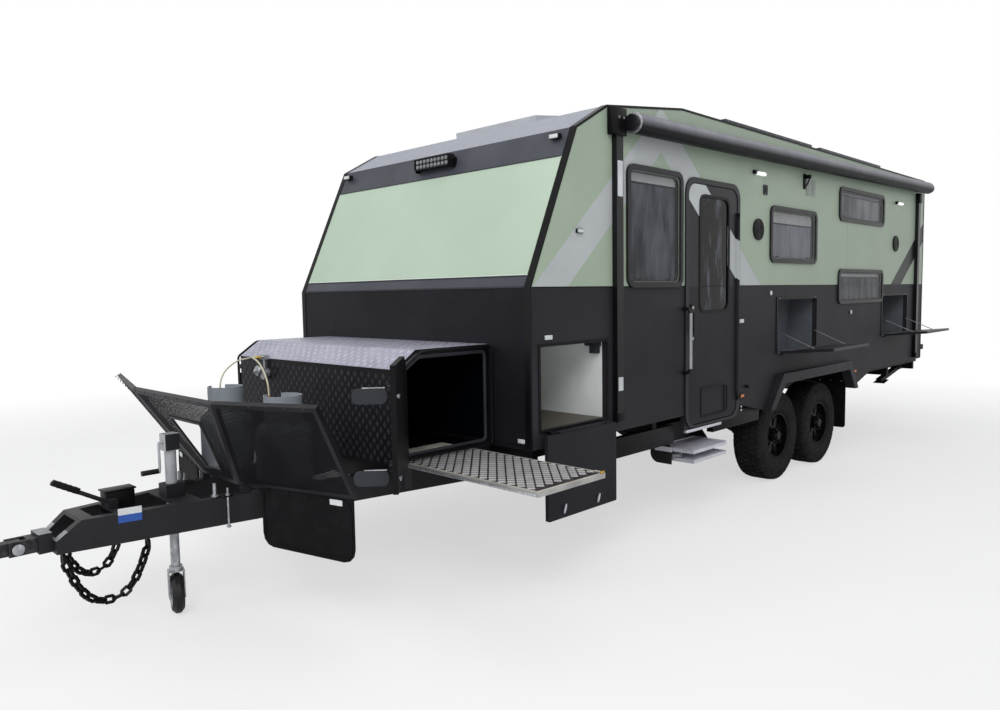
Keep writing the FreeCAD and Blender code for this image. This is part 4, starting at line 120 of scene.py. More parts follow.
class Paint:
    """A principled material and short calls for its nodes."""

    def __init__(self, name, rough=0.5, metal=0.0, coat=0.0, specular=0.3):
        self.material = bpy.data.materials.new(name)
        self.material.use_nodes = True
        self.tree = self.material.node_tree
        self.shader = self.tree.nodes["Principled BSDF"]
        for key, value in (("Roughness", rough), ("Metallic", metal), ("Coat Weight", coat),
                           ("Specular IOR Level", specular)):
            self.shader.inputs[key].default_value = value
        self.place = self.add("ShaderNodeTexCoord").outputs["Object"]

    def add(self, kind, **inputs):
        made = self.tree.nodes.new(kind)
        for key, value in inputs.items():
            self.feed(made.inputs[key.replace("_", " ")], value)
        return made

    def feed(self, socket, value):
        if isinstance(value, bpy.types.NodeSocket):
            self.tree.links.new(value, socket)
        else:
            socket.default_value = value

    def math(self, operation, a, b=0.0, clamp=False):
        made = self.tree.nodes.new("ShaderNodeMath")
        made.operation, made.use_clamp = operation, clamp
        self.feed(made.inputs[0], a)
        self.feed(made.inputs[1], b)
        return made.outputs[0]

    def xyz(self, source=None):
        return self.add("ShaderNodeSeparateXYZ", Vector=source or self.place).outputs

    def normal(self):
        return self.xyz(self.add("ShaderNodeNewGeometry").outputs["True Normal"])

    def mapped(self, scale=(1, 1, 1), turn=(0, 0, 0)):
        return self.add("ShaderNodeMapping", Vector=self.place, Scale=scale,
                        Rotation=turn).outputs[0]

    def noise(self, scale, detail=3.0, rough=0.5, at=None):
        return self.add("ShaderNodeTexNoise", Vector=at or self.place, Scale=scale,
                        Detail=detail, Roughness=rough).outputs[0]

    def ramp(self, factor, low, high):
        """0 to 1 while the factor goes from low to high."""
        return self.add("ShaderNodeMapRange", Value=factor, From_Min=low, From_Max=high).outputs[0]

    def spread(self, factor, low, high):
        """Low to high while the factor goes from 0 to 1."""
        return self.add("ShaderNodeMapRange", Value=factor, To_Min=low, To_Max=high).outputs[0]

    def mix(self, factor, a, b):
        made = self.tree.nodes.new("ShaderNodeMix")
        made.data_type = "RGBA"
        self.feed(made.inputs[0], factor)
        self.feed(made.inputs[6], a)
        self.feed(made.inputs[7], b)
        return made.outputs[2]

    def colour(self, value):
        self.feed(self.shader.inputs["Base Color"], value)

    def tones(self, low, high, scale=3.0, spread=(0.3, 0.7)):
        """Two near tones in a soft cloud, the usual way a real surface varies."""
        grain = self.noise(scale, 4.0)
        return self.mix(self.ramp(grain, *spread), linear(low), linear(high))

    def roughness(self, low, high, scale=8.0):
        self.feed(self.shader.inputs["Roughness"],
                  self.spread(self.noise(scale, 5.0, 0.6), low, high))

    def bump(self, height, strength, depth):
        made = self.add("ShaderNodeBump", Height=height, Strength=strength, Distance=depth)
        self.feed(self.shader.inputs["Normal"], made.outputs[0])

    def dusted(self, under, dust, noise, start, share):
        """Road dust in soft patches over a finish."""
        patches = self.math("MULTIPLY", self.ramp(self.noise(*noise), start, 0.8), share)
        return self.mix(patches, under, linear(dust))

    def done(self, grain, strength, depth, rough, scale=8.0):
        """Adds the relief of a grain and a gloss that varies, and returns the material."""
        self.bump(self.noise(*grain), strength, depth)
        self.roughness(*rough, scale)
        return self.material

    def vector(self, operation, a, b=None):
        made = self.add("ShaderNodeVectorMath")
        made.operation = operation
        self.feed(made.inputs[0], a)
        if b is not None:
            self.feed(made.inputs[1], b)
        return made.outputs["Value" if operation == "LENGTH" else "Vector"]

    def from_axis(self, at, axis):
        """Distance from a line through a point given from the van's datum."""
        away = self.vector("SUBTRACT", self.place, van(*at))
        return self.vector("LENGTH", self.vector("CROSS_PRODUCT", away, Vector(axis)))

    # Masks are 1 where they hold and 0 elsewhere
    def over(self, value, limit):
        return self.math("GREATER_THAN", value, limit)

    def under(self, value, limit):
        return self.math("LESS_THAN", value, limit)

    def both(self, *masks):
        return reduce(lambda a, b: self.math("MULTIPLY", a, b), masks)

    def either(self, *masks):
        return reduce(lambda a, b: self.math("MAXIMUM", a, b), masks)

    def inverted(self, mask):
        return self.math("SUBTRACT", 1.0, mask)

    def between(self, value, low, high):
        return self.both(self.over(value, low), self.under(value, high))

    def within(self, x=None, y=None, z=None):
        """1 inside a box given from the van's datum; a missing pair leaves that side free."""
        places = self.xyz()
        masks = [self.between(places[i], pair[0] + SHIFT[i], pair[1] + SHIFT[i])
                 for i, pair in enumerate((x, y, z)) if pair]
        return self.both(*masks)


def chevrons(p):
    """Masks of what is above the belt, and of the silver and dark chevrons, on the sides."""
    _, y, z = p.xyz()

    def right_of(a, b):
        run, rise = b[0] - a[0], b[1] - a[1]
        across = p.math("MULTIPLY", p.math("SUBTRACT", y, a[0] + SHIFT.y), rise)
        along = p.math("MULTIPLY", p.math("SUBTRACT", z, a[1] + SHIFT.z), run)
        return p.over(p.math("SUBTRACT", across, along), 0.0)

    belt = p.over(z, BELT + SHIFT.z)
    outside = p.both(right_of((0.026, 1.742), (1.327, 2.925)),
                     p.inverted(right_of((2.84, 1.757), (1.644, 2.721))))
    inside = p.both(right_of((0.338, 1.742), (1.352, 2.652)),
                    p.inverted(right_of((2.461, 1.758), (1.352, 2.652))))
    silver = p.both(belt, outside, p.inverted(inside))
    dark = p.both(belt, right_of((6.035, 1.751), (6.93, 2.341)),
                  p.inverted(right_of((6.374, 1.75), (6.95, 2.13))))
    return belt, silver, dark


def wall_paint(name, chevroned=True, coal=((31, 29, 34), (43, 41, 46)), shut=False):
    """Side and rear wall: sage above the belt, charcoal below, silver and dark chevrons."""
    p = Paint(name, specular=0.18)
    belt, silver, dark = chevrons(p)
    lower = p.tones(*coal, 2.0)
    sage = lower if shut else p.tones((158, 173, 155), (168, 183, 164), 1.3)
    body = p.mix(belt, lower, sage)
    if chevroned:
        body = p.mix(silver, body, p.tones((176, 180, 182), (194, 198, 200), 2.2))
        body = p.mix(dark, body, p.tones((18, 20, 22), (28, 30, 32), 3.0))
    _, y, z = p.xyz()
    seams = p.both(p.under(z, 2.5 + SHIFT.z), p.either(
        p.both(p.between(y, 2.148 + SHIFT.y, 2.152 + SHIFT.y), belt),
        p.between(y, 4.7145 + SHIFT.y, 4.7195 + SHIFT.y)))
    p.colour(p.mix(p.math("MULTIPLY", seams, 0.75), body, linear((18, 20, 20))))
    grain = p.noise(260.0, 3.0, 0.6, p.mapped((1, 0.35, 1)))
    p.bump(p.mix(belt, grain, p.noise(900.0, 2.0)), 0.28, 0.0012)
    p.feed(p.shader.inputs["Roughness"], p.spread(belt, 0.55, 0.36))
    return p.material


def front_paint():
    """Upper front wall: pale sage panel between two dark bands with a leather-like grain, and a
    painted highlight line along the panel's lower edge.
    """
    p = Paint("front_wall_paint", specular=0.18)
    _, _, z = p.xyz()
    panel = p.between(z, 1.812 + SHIFT.z, 2.523 + SHIFT.z)
    sage = p.tones((178, 196, 177), (190, 208, 189), 1.1)
    band = p.tones((62, 64, 72), (80, 82, 90), 2.5)
    # painted highlight: a pale line along the panel's lower edge
    lit = p.between(z, 1.812 + SHIFT.z, 1.82 + SHIFT.z)
    p.colour(p.mix(lit, p.mix(panel, band, sage), linear((216, 228, 216))))
    cells = p.add("ShaderNodeTexVoronoi", Vector=p.place, Scale=210.0).outputs["Distance"]
    p.bump(p.mix(panel, cells, p.noise(900.0, 2.0)), 0.35, 0.0016)
    p.roughness(0.38, 0.5)
    return p.material


def roof_paint():
    """Roof: speckled grey on the slope over the brow, white with road dust behind it."""
    p = Paint("roof_paint")
    _, y, _ = p.xyz()
    slope = p.under(y, 1.62 + SHIFT.y)
    speckle = p.mix(p.ramp(p.noise(190.0, 3.0, 0.7), 0.4, 0.62), linear((132, 135, 145)),
                    linear((172, 175, 186)))
    white = p.tones((196, 198, 199), (212, 214, 215), 1.6)
    behind = p.dusted(white, (168, 164, 156), (2.4, 6.0, 0.65), 0.5, 0.35)
    p.colour(p.mix(slope, behind, speckle))
    return p.done((320.0, 3.0), 0.25, 0.001, (0.45, 0.6))


def embossed(name, low, high, scale=95.0, depth=0.003):
    """Black composite sheet with a fine stretched emboss."""
    p = Paint(name, rough=0.5, specular=0.13)
    p.colour(p.tones(low, high, 1.6))
    across = p.noise(scale, 4.0, 0.65, p.mapped((0.5, 1, 1.6), (0, 0.35, 0)))
    p.bump(across, 0.5, depth)
    p.roughness(0.42, 0.6, 12.0)
    return p.material


def powder_coat(name, low, high, rough=(0.42, 0.6), relief=0.25, dusty=0.14):
    """Powder-coated steel with orange peel, road dust and slight wear."""
    p = Paint(name, specular=0.13)
    p.colour(p.dusted(p.tones(low, high, 4.0), (70, 67, 63), (5.5, 6.0, 0.62), 0.56, dusty))
    return p.done((620.0, 2.0), relief, 0.0008, rough)


def toolbox_paint():
    """Tool box: black plate in front and at the sides, bright plate on top, and inside a
    near-black navy, darker than the plate outside, that is painted shade.
    """
    p = Paint("toolbox_plate", metal=0.2, specular=0.15)
    _, ny, nz = p.normal()
    x, y, z = p.xyz()
    top = p.both(p.over(nz, 0.4), p.over(z, 1.29 + SHIFT.z))
    ends = p.over(p.math("ABSOLUTE", x), 0.8995)
    front = p.both(p.under(ny, -0.5), p.under(y, BOX_FRONT + 0.005 + SHIFT.y))
    rail = p.over(p.math("ABSOLUTE", x), 0.856)
    outer = p.either(front, ends, rail)
    bright = p.tones((150, 150, 166), (172, 172, 186), 5.0)
    black_plate = p.tones((13, 13, 16), (23, 23, 27), 5.0)
    # painted shade: the inside of the box is given a colour darker than its black plate
    inner = p.tones((3, 6, 12), (7, 10, 18), 4.0)
    p.colour(p.mix(top, p.mix(outer, inner, black_plate), bright))
    return p.done((300.0, 3.0), 0.2, 0.001, (0.34, 0.5), 14.0)


def rubber(name, low=(17, 17, 18), high=(29, 29, 30), dusty=0.22):
    p = Paint(name, rough=0.75, specular=0.12)
    p.colour(p.dusted(p.tones(low, high, 9.0), (70, 66, 62), (16.0, 6.0, 0.62), 0.5, dusty))
    return p.done((420.0, 3.0), 0.3, 0.001, (0.66, 0.86))


def metal(name, low, high, rough=(0.3, 0.46), spangle=60.0):
    """Bare or galvanised metal with spangle and smears."""
    p = Paint(name, metal=0.8)
    cells = p.add("ShaderNodeTexVoronoi", Vector=p.place, Scale=spangle).outputs["Color"]
    grey = p.ramp(p.xyz(cells)[0], 0.0, 1.0)
    p.colour(p.mix(grey, linear(low), linear(high)))
    return p.done((160.0, 4.0), 0.12, 0.0008, rough, 20.0)


def plastic(name, low, high, rough=(0.35, 0.5), specular=0.3, relief=0.2):
    p = Paint(name, specular=specular)
    p.colour(p.tones(low, high, 7.0))
    return p.done((700.0, 2.0), relief, 0.0006, rough)


def masked(name, base, patches, rough=(0.35, 0.5)):
    """One node's finish: each patch is a mask's maker, two tones and whether it is metal."""
    p = Paint(name)
    result = p.tones(*base, 6.0)
    bright = None
    for make, low, high, is_metal in patches:
        mask = make(p)
        result = p.mix(mask, result, p.tones(low, high, 8.0))
        if is_metal:
            bright = mask if bright is None else p.either(bright, mask)
    p.colour(result)
    if bright is not None:
        p.feed(p.shader.inputs["Metallic"], p.math("MULTIPLY", bright, 0.8))
    return p.done((500.0, 2.0), 0.15, 0.0008, rough)


def glass(name, tint, see_through, rough=0.05):
    """Tinted acrylic pane: partly see-through, with a faint smear in its gloss."""
    p = Paint(name, rough=rough, coat=0.3, specular=0.5)
    p.colour(p.tones(tint, tuple(c + 8 for c in tint), 2.0))
    p.roughness(rough * 0.6, rough * 1.6, 3.0)
    p.shader.inputs["Alpha"].default_value = 1 - see_through
    return p.material


def dark_pane(name):
    """Dark glossy pane with soft pale streaks painted in as reflections and as what would show
    through it.
    """
    p = Paint(name, rough=0.08, specular=0.14)
    folds_and_painted_light = p.noise(2.8, 4.0, 0.65, p.mapped((1, 2.6, 0.7), (0.5, 0, 0)))
    # painted reflection: the streaks mix the dark colour towards a pale grey
    p.colour(p.mix(p.ramp(folds_and_painted_light, 0.52, 0.7), linear((6, 7, 9)), linear((92, 96, 106))))
    p.roughness(0.06, 0.14, 3.0)
    return p.material


def awning_fabric():
    """Rolled vinyl: black below, with a painted sky highlight towards its upper side."""
    p = Paint("awning_fabric", specular=0.16)
    # painted highlight: surfaces that face up are mixed towards a pale grey, standing in for the
    # sky's reflection
    up = p.math("ADD", p.normal()[2], p.math("MULTIPLY", p.normal()[0], 0.25))
    painted_sky_highlight = p.both(p.ramp(up, -0.1, 0.62), p.spread(p.ramp(up, 0.75, 1.05), 1.0, 0.45))
    p.colour(p.mix(painted_sky_highlight, p.tones((13, 13, 16), (22, 22, 25), 5.0),
                   p.tones((124, 125, 132), (142, 143, 150), 5.0)))
    return p.done((420.0, 2.0), 0.15, 0.0008, (0.36, 0.5))


def mesh_cloth(name, pitch=0.0078, half=0.272):
    """Black woven screen of the stone shield, with holes that show what is behind."""
    p = Paint(name, rough=0.6, specular=0.08)
    p.colour(p.tones((18, 18, 21), (28, 28, 32), 6.0))
    x, y, z = p.xyz()

    def thread(value):
        part = p.math("FRACT", p.math("MULTIPLY", value, 1 / pitch))
        return p.math("ABSOLUTE", p.math("SUBTRACT", part, 0.5))

    across, rows = thread(p.math("ADD", x, y)), thread(z)
    hole = p.both(p.under(across, half), p.under(rows, half))
    p.feed(p.shader.inputs["Alpha"], p.inverted(hole))
    p.bump(p.math("ADD", across, rows), 0.4, 0.002)
    return p.material


def shade_cloth(name, low, high, scale=3.0):
    """Blind behind a window: soft folds that run down, broader towards the top; their light and
    shade are painted into the colour as paler and darker streaks, which also stand in for the
    panes' reflections.
    """
    p = Paint(name, rough=0.85, specular=0.1)
    folds_and_painted_light = p.noise(scale, 3.0, 0.6, p.mapped((1, 2.6, 0.7)))
    # painted shade and highlight of the folds: the noise that gives the folds' relief also mixes
    # the colour between a darker and a paler tone
    p.colour(p.mix(p.ramp(folds_and_painted_light, 0.38, 0.6), linear(low), linear(high)))
    p.bump(folds_and_painted_light, 0.4, 0.01)
    return p.material


black = powder_coat("black_powder_coat", (10, 10, 13), (19, 19, 22))
satin = powder_coat("satin_black_trim", (8, 8, 10), (15, 15, 18), (0.34, 0.48), 0.12, 0.06)
graphite = powder_coat("graphite_trim", (44, 46, 51), (56, 58, 63), (0.34, 0.48), 0.12, 0.06)
flare = plastic("flare_black", (30, 30, 34), (42, 42, 46), (0.4, 0.55), 0.2)
shield_grey = powder_coat("shield_frame_grey", (26, 26, 30), (38, 38, 43), (0.34, 0.48), 0.12)
frame_black = plastic("window_frame_black", (26, 26, 29), (36, 36, 40), (0.32, 0.45), 0.25)
trim = plastic("trim_black", (9, 9, 11), (17, 17, 20), (0.35, 0.5), 0.15)
wall = wall_paint("side_wall_paint")
upper = front_paint()
roof_grey = roof_paint()
emboss = embossed("embossed_black", (18, 18, 23), (31, 31, 37))
coal = embossed("flap_charcoal", (26, 26, 30), (38, 38, 43), 140.0, 0.0016)
door_paint = wall_paint("entry_door_paint", True, ((28, 26, 31), (40, 38, 43)), True)
rear_paint = wall_paint("rear_wall_paint", False)
plate_black = toolbox_paint()
lozenge_black = powder_coat("lozenge_black", (38, 38, 44), (54, 54, 61), (0.3, 0.42), 0.1, 0.05)
lozenge_bright = metal("lozenge_bright", (168, 168, 184), (196, 196, 210), (0.34, 0.5), 40.0)
tray_line = metal("tray_groove", (52, 47, 52), (76, 70, 74), (0.5, 0.65), 30.0)
lozenge_tray = metal("tray_lozenge", (214, 212, 212), (236, 234, 234), (0.4, 0.55), 14.0)
tyre_black = rubber("tyre_rubber", (22, 21, 23), (36, 35, 37), 0.3)
rubber_black = rubber("sheet_rubber", (9, 9, 11), (18, 18, 21), 0.1)
label_brass = metal("brass_fittings", (186, 146, 52), (214, 176, 74), (0.3, 0.45), 30.0)
zinc = metal("zinc_plate", (150, 152, 156), (190, 192, 196))
alloy = metal("step_alloy", (206, 206, 216), (222, 222, 230), (0.4, 0.55), 4.0)
iron = metal("dark_iron", (46, 46, 48), (68, 68, 71), (0.4, 0.6))
pane = glass("window_tint", (26, 29, 34), 0.78)
door_pane = dark_pane("door_tint")
rim_black = powder_coat("rim_black", (9, 9, 11), (17, 17, 19), (0.24, 0.36), 0.1, 0.1)
white_trim = plastic("white_plastic", (206, 208, 209), (220, 222, 223), (0.3, 0.45))
screen = mesh_cloth("shield_screen")
hose_pale = rubber("gas_hose_rubber", (196, 190, 168), (214, 209, 190), 0.05)
amber = plastic("lens_amber", (206, 104, 34), (222, 122, 48), (0.15, 0.25), 0.5, 0.1)
red = plastic("lens_red", (150, 20, 22), (176, 32, 32), (0.15, 0.25), 0.5, 0.1)
clear = plastic("lens_clear", (196, 200, 204), (216, 220, 224), (0.15, 0.25), 0.5, 0.1)
vent_grey = plastic("vent_grey", (146, 154, 146), (158, 166, 158))
label_blue = plastic("plate_blue", (38, 78, 158), (52, 92, 172), (0.3, 0.4))
shade_pale = shade_cloth("shade_pale", (150, 155, 166), (176, 181, 190))
shade_white = shade_cloth("shade_white", (222, 223, 226), (234, 235, 237))
shade_grey = shade_cloth("shade_grey", (104, 110, 120), (186, 190, 196), 1.6)
shade_dark = shade_cloth("shade_dark", (52, 56, 64), (120, 126, 136), 2.6)
fabric = awning_fabric()
lamp_lit = plastic("lamp_lit", (240, 242, 244), (248, 249, 250), (0.2, 0.3), 0.3, 0.05)
lamp_shader = lamp_lit.node_tree.nodes["Principled BSDF"]
lamp_shader.inputs["Emission Color"].default_value = (1, 1, 1, 1)
lamp_shader.inputs["Emission Strength"].default_value = LAMP_GLOW
lens_smoke = plastic("lens_smoke", (92, 94, 98), (132, 134, 138), (0.12, 0.2), 0.5, 0.05)


def near(p, centre, reach):
    """1 within a reach of an upright line, in the van's x and y."""
    away = [p.math("SUBTRACT", here, there + SHIFT[i])
            for i, (here, there) in enumerate(zip(p.xyz(), centre))]
    squares = [p.math("MULTIPLY", d, d) for d in away]
    return p.under(p.math("SQRT", p.math("ADD", *squares)), reach)


bottle_set = masked("bottle_set", ((136, 142, 150), (156, 162, 170)), (
    (lambda p: p.both(p.either(*(near(p, c, 0.093) for c in BOTTLES)), p.within(z=(1.058, 1.2))),
     (176, 138, 48), (208, 170, 66), True),
    (lambda p: p.within(y=(-0.78, -0.7)), (150, 152, 156), (196, 198, 202), True)))
bay_paint = masked("bay_lining", ((226, 230, 228), (238, 241, 240)), (
    (lambda p: p.both(p.over(p.normal()[2], 0.5), p.within(z=(0.88, 0.93))),
     (72, 66, 56), (90, 84, 72), False),))
mast_paint = masked("jockey_mast_finish", ((148, 150, 154), (188, 190, 194)), (
    (lambda p: p.within(y=(-1.74, -1.643), z=(0.76, 0.83)), (9, 9, 11), (16, 16, 18), False),
    (lambda p: p.both(p.within(y=(-1.6135, -1.53), z=(0.902, 1.0)), p.over(p.normal()[0], 0.5)),
     (22, 23, 25), (32, 33, 36), False)))
wheel_paint = masked("jockey_wheel_finish", ((150, 154, 158), (186, 190, 194)), (
    (lambda p: p.over(p.from_axis(JOCKEY_HUB, JOCKEY_AXLE), 0.068),
     (18, 18, 20), (28, 28, 30), False),))

PLAIN = (
    (black, "floor chassis_frame suspension leg_front_kerb leg_front_road leg_rear_kerb "
            "leg_rear_road rear_bar"),
    (satin, "toolbox_door_kerb toolbox_door_road flap_hinges safety_chains"),
    (rim_black, "spare_rim rim_front_kerb rim_front_road rim_rear_kerb rim_rear_road"),
    (wall, "side_wall_kerb side_wall_road"), (rear_paint, "rear_wall"), (roof_grey, "roof"),
    (emboss, "front_wall_lower"), (upper, "front_wall_upper"), (flare, "arch_flares"),
    (frame_black, "window_frames"), (pane, "window_glass"), (door_paint, "entry_door"),
    (door_pane, "entry_door_glass"), (iron, "coupling_yoke coupling_head"),
    (zinc, "jockey_inner_tube jockey_fork step_links"), (mast_paint, "jockey_mast"),
    (wheel_paint, "jockey_wheel"), (plate_black, "toolbox"), (bay_paint, "storage_bay_lining"),
    (coal, "storage_flap_kerb storage_flap_road"), (shield_grey, "stone_shield"),
    (screen, "stone_shield_mesh"), (rubber_black, "mud_flaps"), (bottle_set, "gas_bottles"),
    (alloy, "step_lower_tread"))
DRESS = {name: paint for paint, names in PLAIN for name in names.split()}
DRESS["drawbar"] = masked("drawbar_finish", ((18, 18, 21), (29, 29, 33)), (
    (lambda p: p.both(p.within(y=(-2.25, -2.13), z=(0.49, 0.66)), p.over(p.normal()[2], 0.4)),
     (120, 122, 126), (160, 162, 166), True),), (0.42, 0.58))
DRESS["entry_step"] = masked("entry_step_finish", ((9, 9, 11), (18, 18, 21)), (
    (lambda p: p.within(x=(0.99, 1.31), z=(0.531, 0.566)), (206, 206, 216), (222, 222, 230),
     True),), (0.42, 0.58))
for name, stay_z in (("hatch_flap_front", 1.176), ("hatch_flap_rear", 1.201)):
    DRESS[name] = masked(name + "_finish", ((26, 26, 30), (38, 38, 43)), (
        (lambda p: p.over(p.math("SUBTRACT", p.xyz()[2], p.math("MULTIPLY", p.xyz()[0], 0.1)),
                          stay_z + SHIFT.z - 1.22 * 0.1), (120, 120, 124), (150, 150, 154),
         True),))
DRESS["slide_tray"] = masked("slide_tray_finish", ((150, 148, 144), (170, 168, 164)), (
    (lambda p: p.over(p.normal()[2], 0.5), (176, 171, 160), (204, 199, 188), False),
    (lambda p: p.under(p.normal()[2], 0.5), (160, 159, 157), (190, 189, 187), True)),
    (0.42, 0.6))
DRESS["hatch_linings"] = masked("hatch_recess", ((88, 92, 98), (104, 108, 114)), (
    (lambda p: p.either(p.within(x=(0.9, 0.935), y=(3.765, 3.985), z=(1.27, 1.553)),
                        p.within(y=(3.1, 3.178)), p.within(y=(5.7, 5.77))),
     (8, 10, 16), (14, 16, 22), False),), (0.5, 0.65))
DRESS["awning"] = masked("awning_finish", ((24, 24, 27), (34, 34, 38)), (
    (lambda p: p.either(p.within(y=(0.7, 0.905)), p.within(y=(6.99, 7.1)),
                        p.within(x=(1.1, 1.2385), z=(0.8, 2.74))),
     (9, 9, 12), (17, 17, 21), False),), (0.26, 0.34))
DRESS["roof_fittings"] = masked("roof_fittings_finish", ((176, 178, 184), (196, 198, 204)), (
    (lambda p: p.within(x=(0.38, 1.1), z=(3.0, 3.1)), (30, 33, 46), (40, 43, 58), False),
    (lambda p: p.both(p.within(x=(0.38, 1.1), z=(3.0, 3.1)), p.either(
        p.under(p.math("PINGPONG", p.math("ADD", p.xyz()[0], 0.01), 0.085), 0.004),
        p.under(p.math("PINGPONG", p.xyz()[1], 0.085), 0.004))),
     (104, 108, 118), (126, 130, 140), True)), (0.3, 0.45))
DRESS["body_fittings"] = masked("body_fittings_finish", ((9, 9, 11), (17, 17, 20)), (
    (lambda p: p.within(x=(1.205, 1.3), y=(1.6, 1.7), z=(1.15, 1.55)),
     (140, 142, 146), (166, 168, 172), True),))
for name, material in DRESS.items():
    for holder in nodes[name].material_slots:
        holder.material = material


# Shapes
BOX_FACES = ((0, 2, 3, 1), (4, 5, 7, 6), (0, 1, 5, 4), (2, 6, 7, 3), (0, 4, 6, 2), (1, 3, 7, 5))


def circle(count):
    return [(math.cos(2 * math.pi * i / count), math.sin(2 * math.pi * i / count))
            for i in range(count)]


def row(first, pitch, count):
    """Places at one pitch, from the first on."""
    return [first + pitch * i for i in range(count)]


def rounded(corners, radius, steps=4):
    """A closed outline in two values with its corners cut by small arcs."""
    made = []
    count = len(corners)
    for i, corner in enumerate(corners):
        here = Vector(corner)
        before = (Vector(corners[i - 1]) - here).normalized() * radius
        after = (Vector(corners[(i + 1) % count]) - here).normalized() * radius
        for k in range(steps + 1):
            t = k / steps
            made.append(here + before * (1 - t) ** 2 + after * t ** 2)
    return made


def square(low, high):
    (a0, b0), (a1, b1) = low, high
    return (a0, b0), (a1, b0), (a1, b1), (a0, b1)


def rectangle(low, high, radius, steps=4):
    return rounded(square(low, high), radius, steps)


class Maker:
    """Collects shapes, given from the van's datum, into one piece."""

    def __init__(self, paint, local=False):
        self.bm = bmesh.new()
        self.paints = []
        self.use(paint)
        self.shift = Vector((0, 0, 0)) if local else SHIFT

    def use(self, material):
        if material not in self.paints:
            self.paints.append(material)
        self.index = self.paints.index(material)

    def shape(self, points, faces):
        verts = [self.bm.verts.new(Vector(p) + self.shift) for p in points]
        made = [self.bm.faces.new([verts[i] for i in face]) for face in faces]
        for face in made:
            face.material_index = self.index
        return made

    def block(self, low, high, bevel=0.0, turn=None):
        centre = Vector(low).lerp(Vector(high), 0.5)
        points = [Vector((x, y, z)) - centre for z in (low[2], high[2])
                  for y in (low[1], high[1]) for x in (low[0], high[0])]
        if turn:
            points = [turn @ p for p in points]
        faces = self.shape([p + centre for p in points], BOX_FACES)
        if bevel:
            edges = list({edge for face in faces for edge in face.edges})
            bmesh.ops.bevel(self.bm, geom=edges, offset=bevel, segments=2, affect="EDGES",
                            profile=0.5, clamp_overlap=True, material=self.index)

    def rings(self, rings, caps=True, closed=False):
        count = len(rings[0])
        turns = len(rings) if closed else len(rings) - 1
        faces = []
        for r in range(turns):
            a, b = r * count, (r + 1) % len(rings) * count
            faces += [(a + i, a + (i + 1) % count, b + (i + 1) % count, b + i)
                      for i in range(count)]
        if caps and not closed:
            faces.append(tuple(reversed(range(count))))
            faces.append(tuple(range((len(rings) - 1) * count, len(rings) * count)))
        self.shape([p for ring in rings for p in ring], faces)

    def lathe(self, profile, at, axis, steps=24, closed=False):
        """Turns pairs of a place along the axis and a radius."""
        axis, at = Vector(axis).normalized(), Vector(at)
        side = axis.orthogonal().normalized()
        other = axis.cross(side)
        self.rings([[at + axis * along + (side * c + other * s) * radius
                     for c, s in circle(steps)] for along, radius in profile],
                   closed=closed)

    def tube(self, line, radius, sides=10, closed=False):
        line = [Vector(p) for p in line]
        count = len(line)
        side, rings = None, []
        for i, spot in enumerate(line):
            before = line[i - 1] if i or closed else spot
            after = line[(i + 1) % count] if i < count - 1 or closed else spot
            ahead = (after - before).normalized()
            side = ahead.orthogonal() if side is None else side - ahead * side.dot(ahead)
            side.normalize()
            other = ahead.cross(side)
            rings.append([spot + (side * c + other * s) * radius for c, s in circle(sides)])
        self.rings(rings, closed=closed)

    def plate(self, outline, place, low, high):
        """A flat plate: an outline in two values, put in space by place(a, b, out)."""
        self.rings([[place(a, b, low) for a, b in outline],
                    [place(a, b, high) for a, b in outline]])

    def frame(self, outer, inner, place, low, high):
        """A flat ring between two outlines of the same count."""
        self.rings([[place(a, b, low) for a, b in outer], [place(a, b, high) for a, b in outer],
                    [place(a, b, high) for a, b in inner], [place(a, b, low) for a, b in inner]],
                   closed=True)

    def bolt(self, at, axis, size, rise=None):
        """A washer under a hexagon head with a turned top."""
        rise = rise or size * 0.7
        self.lathe(((0, size * 1.5), (rise * 0.3, size * 1.5)), at, axis, 12)
        self.lathe(((rise * 0.2, size), (rise * 0.9, size), (rise, size * 0.8)), at, axis, 6)

    def lozenges(self, corner, across, up, width, height, pitch, share, rise=0.0014):
        """Raised diamonds of a tread plate in staggered rows."""
        corner, across, up = Vector(corner), Vector(across).normalized(), Vector(up).normalized()
        out = across.cross(up)
        wide, tall = pitch * share[0] / 2, pitch * share[1] / 2
        columns, rows = int(width / pitch), int(height / pitch * 2)
        edge_a, edge_b = (width - columns * pitch) / 2, (height - (rows + 1) * pitch / 2) / 2
        for j in range(rows):
            for i in range(columns - j % 2):
                middle = (corner + across * (edge_a + pitch * (i + 0.5 + j % 2 / 2))
                          + up * (edge_b + pitch * (j + 1) / 2))
                tips = [across * wide, up * tall, across * -wide, up * -tall]
                self.shape([middle + t for t in tips]
                           + [middle + t * 0.66 + out * rise for t in tips],
                           ((0, 1, 5, 4), (1, 2, 6, 5), (2, 3, 7, 6), (3, 0, 4, 7), (4, 5, 6, 7)))

    def ring(self, low, high, width, radii, place, back, front, steps=4):
        """A flat frame of one width round a rectangle, with small arcs at its corners."""
        inner = (low[0] + width, low[1] + width), (high[0] - width, high[1] - width)
        self.frame(rectangle(low, high, radii[0], steps), rectangle(*inner, radii[1], steps),
                   place, back, front)

    def mesh(self, name, sharp=32):
        bmesh.ops.recalc_face_normals(self.bm, faces=self.bm.faces)
        data = bpy.data.meshes.new(name)
        self.bm.to_mesh(data)
        self.bm.free()
        for material in self.paints:
            data.materials.append(material)
        for face in data.polygons:
            face.use_smooth = True
        data.set_sharp_from_angle(angle=math.radians(sharp))
        return data

    def finish(self, name, body, at=None):
        return shown(name, self.mesh(name), body, at=at)


def shown(name, data, body, replaces=(), at=None):
    made = put(name, data)
    if at:
        made.location = van(*at)
    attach(made, body)
    if replaces:
        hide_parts(*replaces)
    return made


def side_of(side):
    return "kerb" if side > 0 else "road"


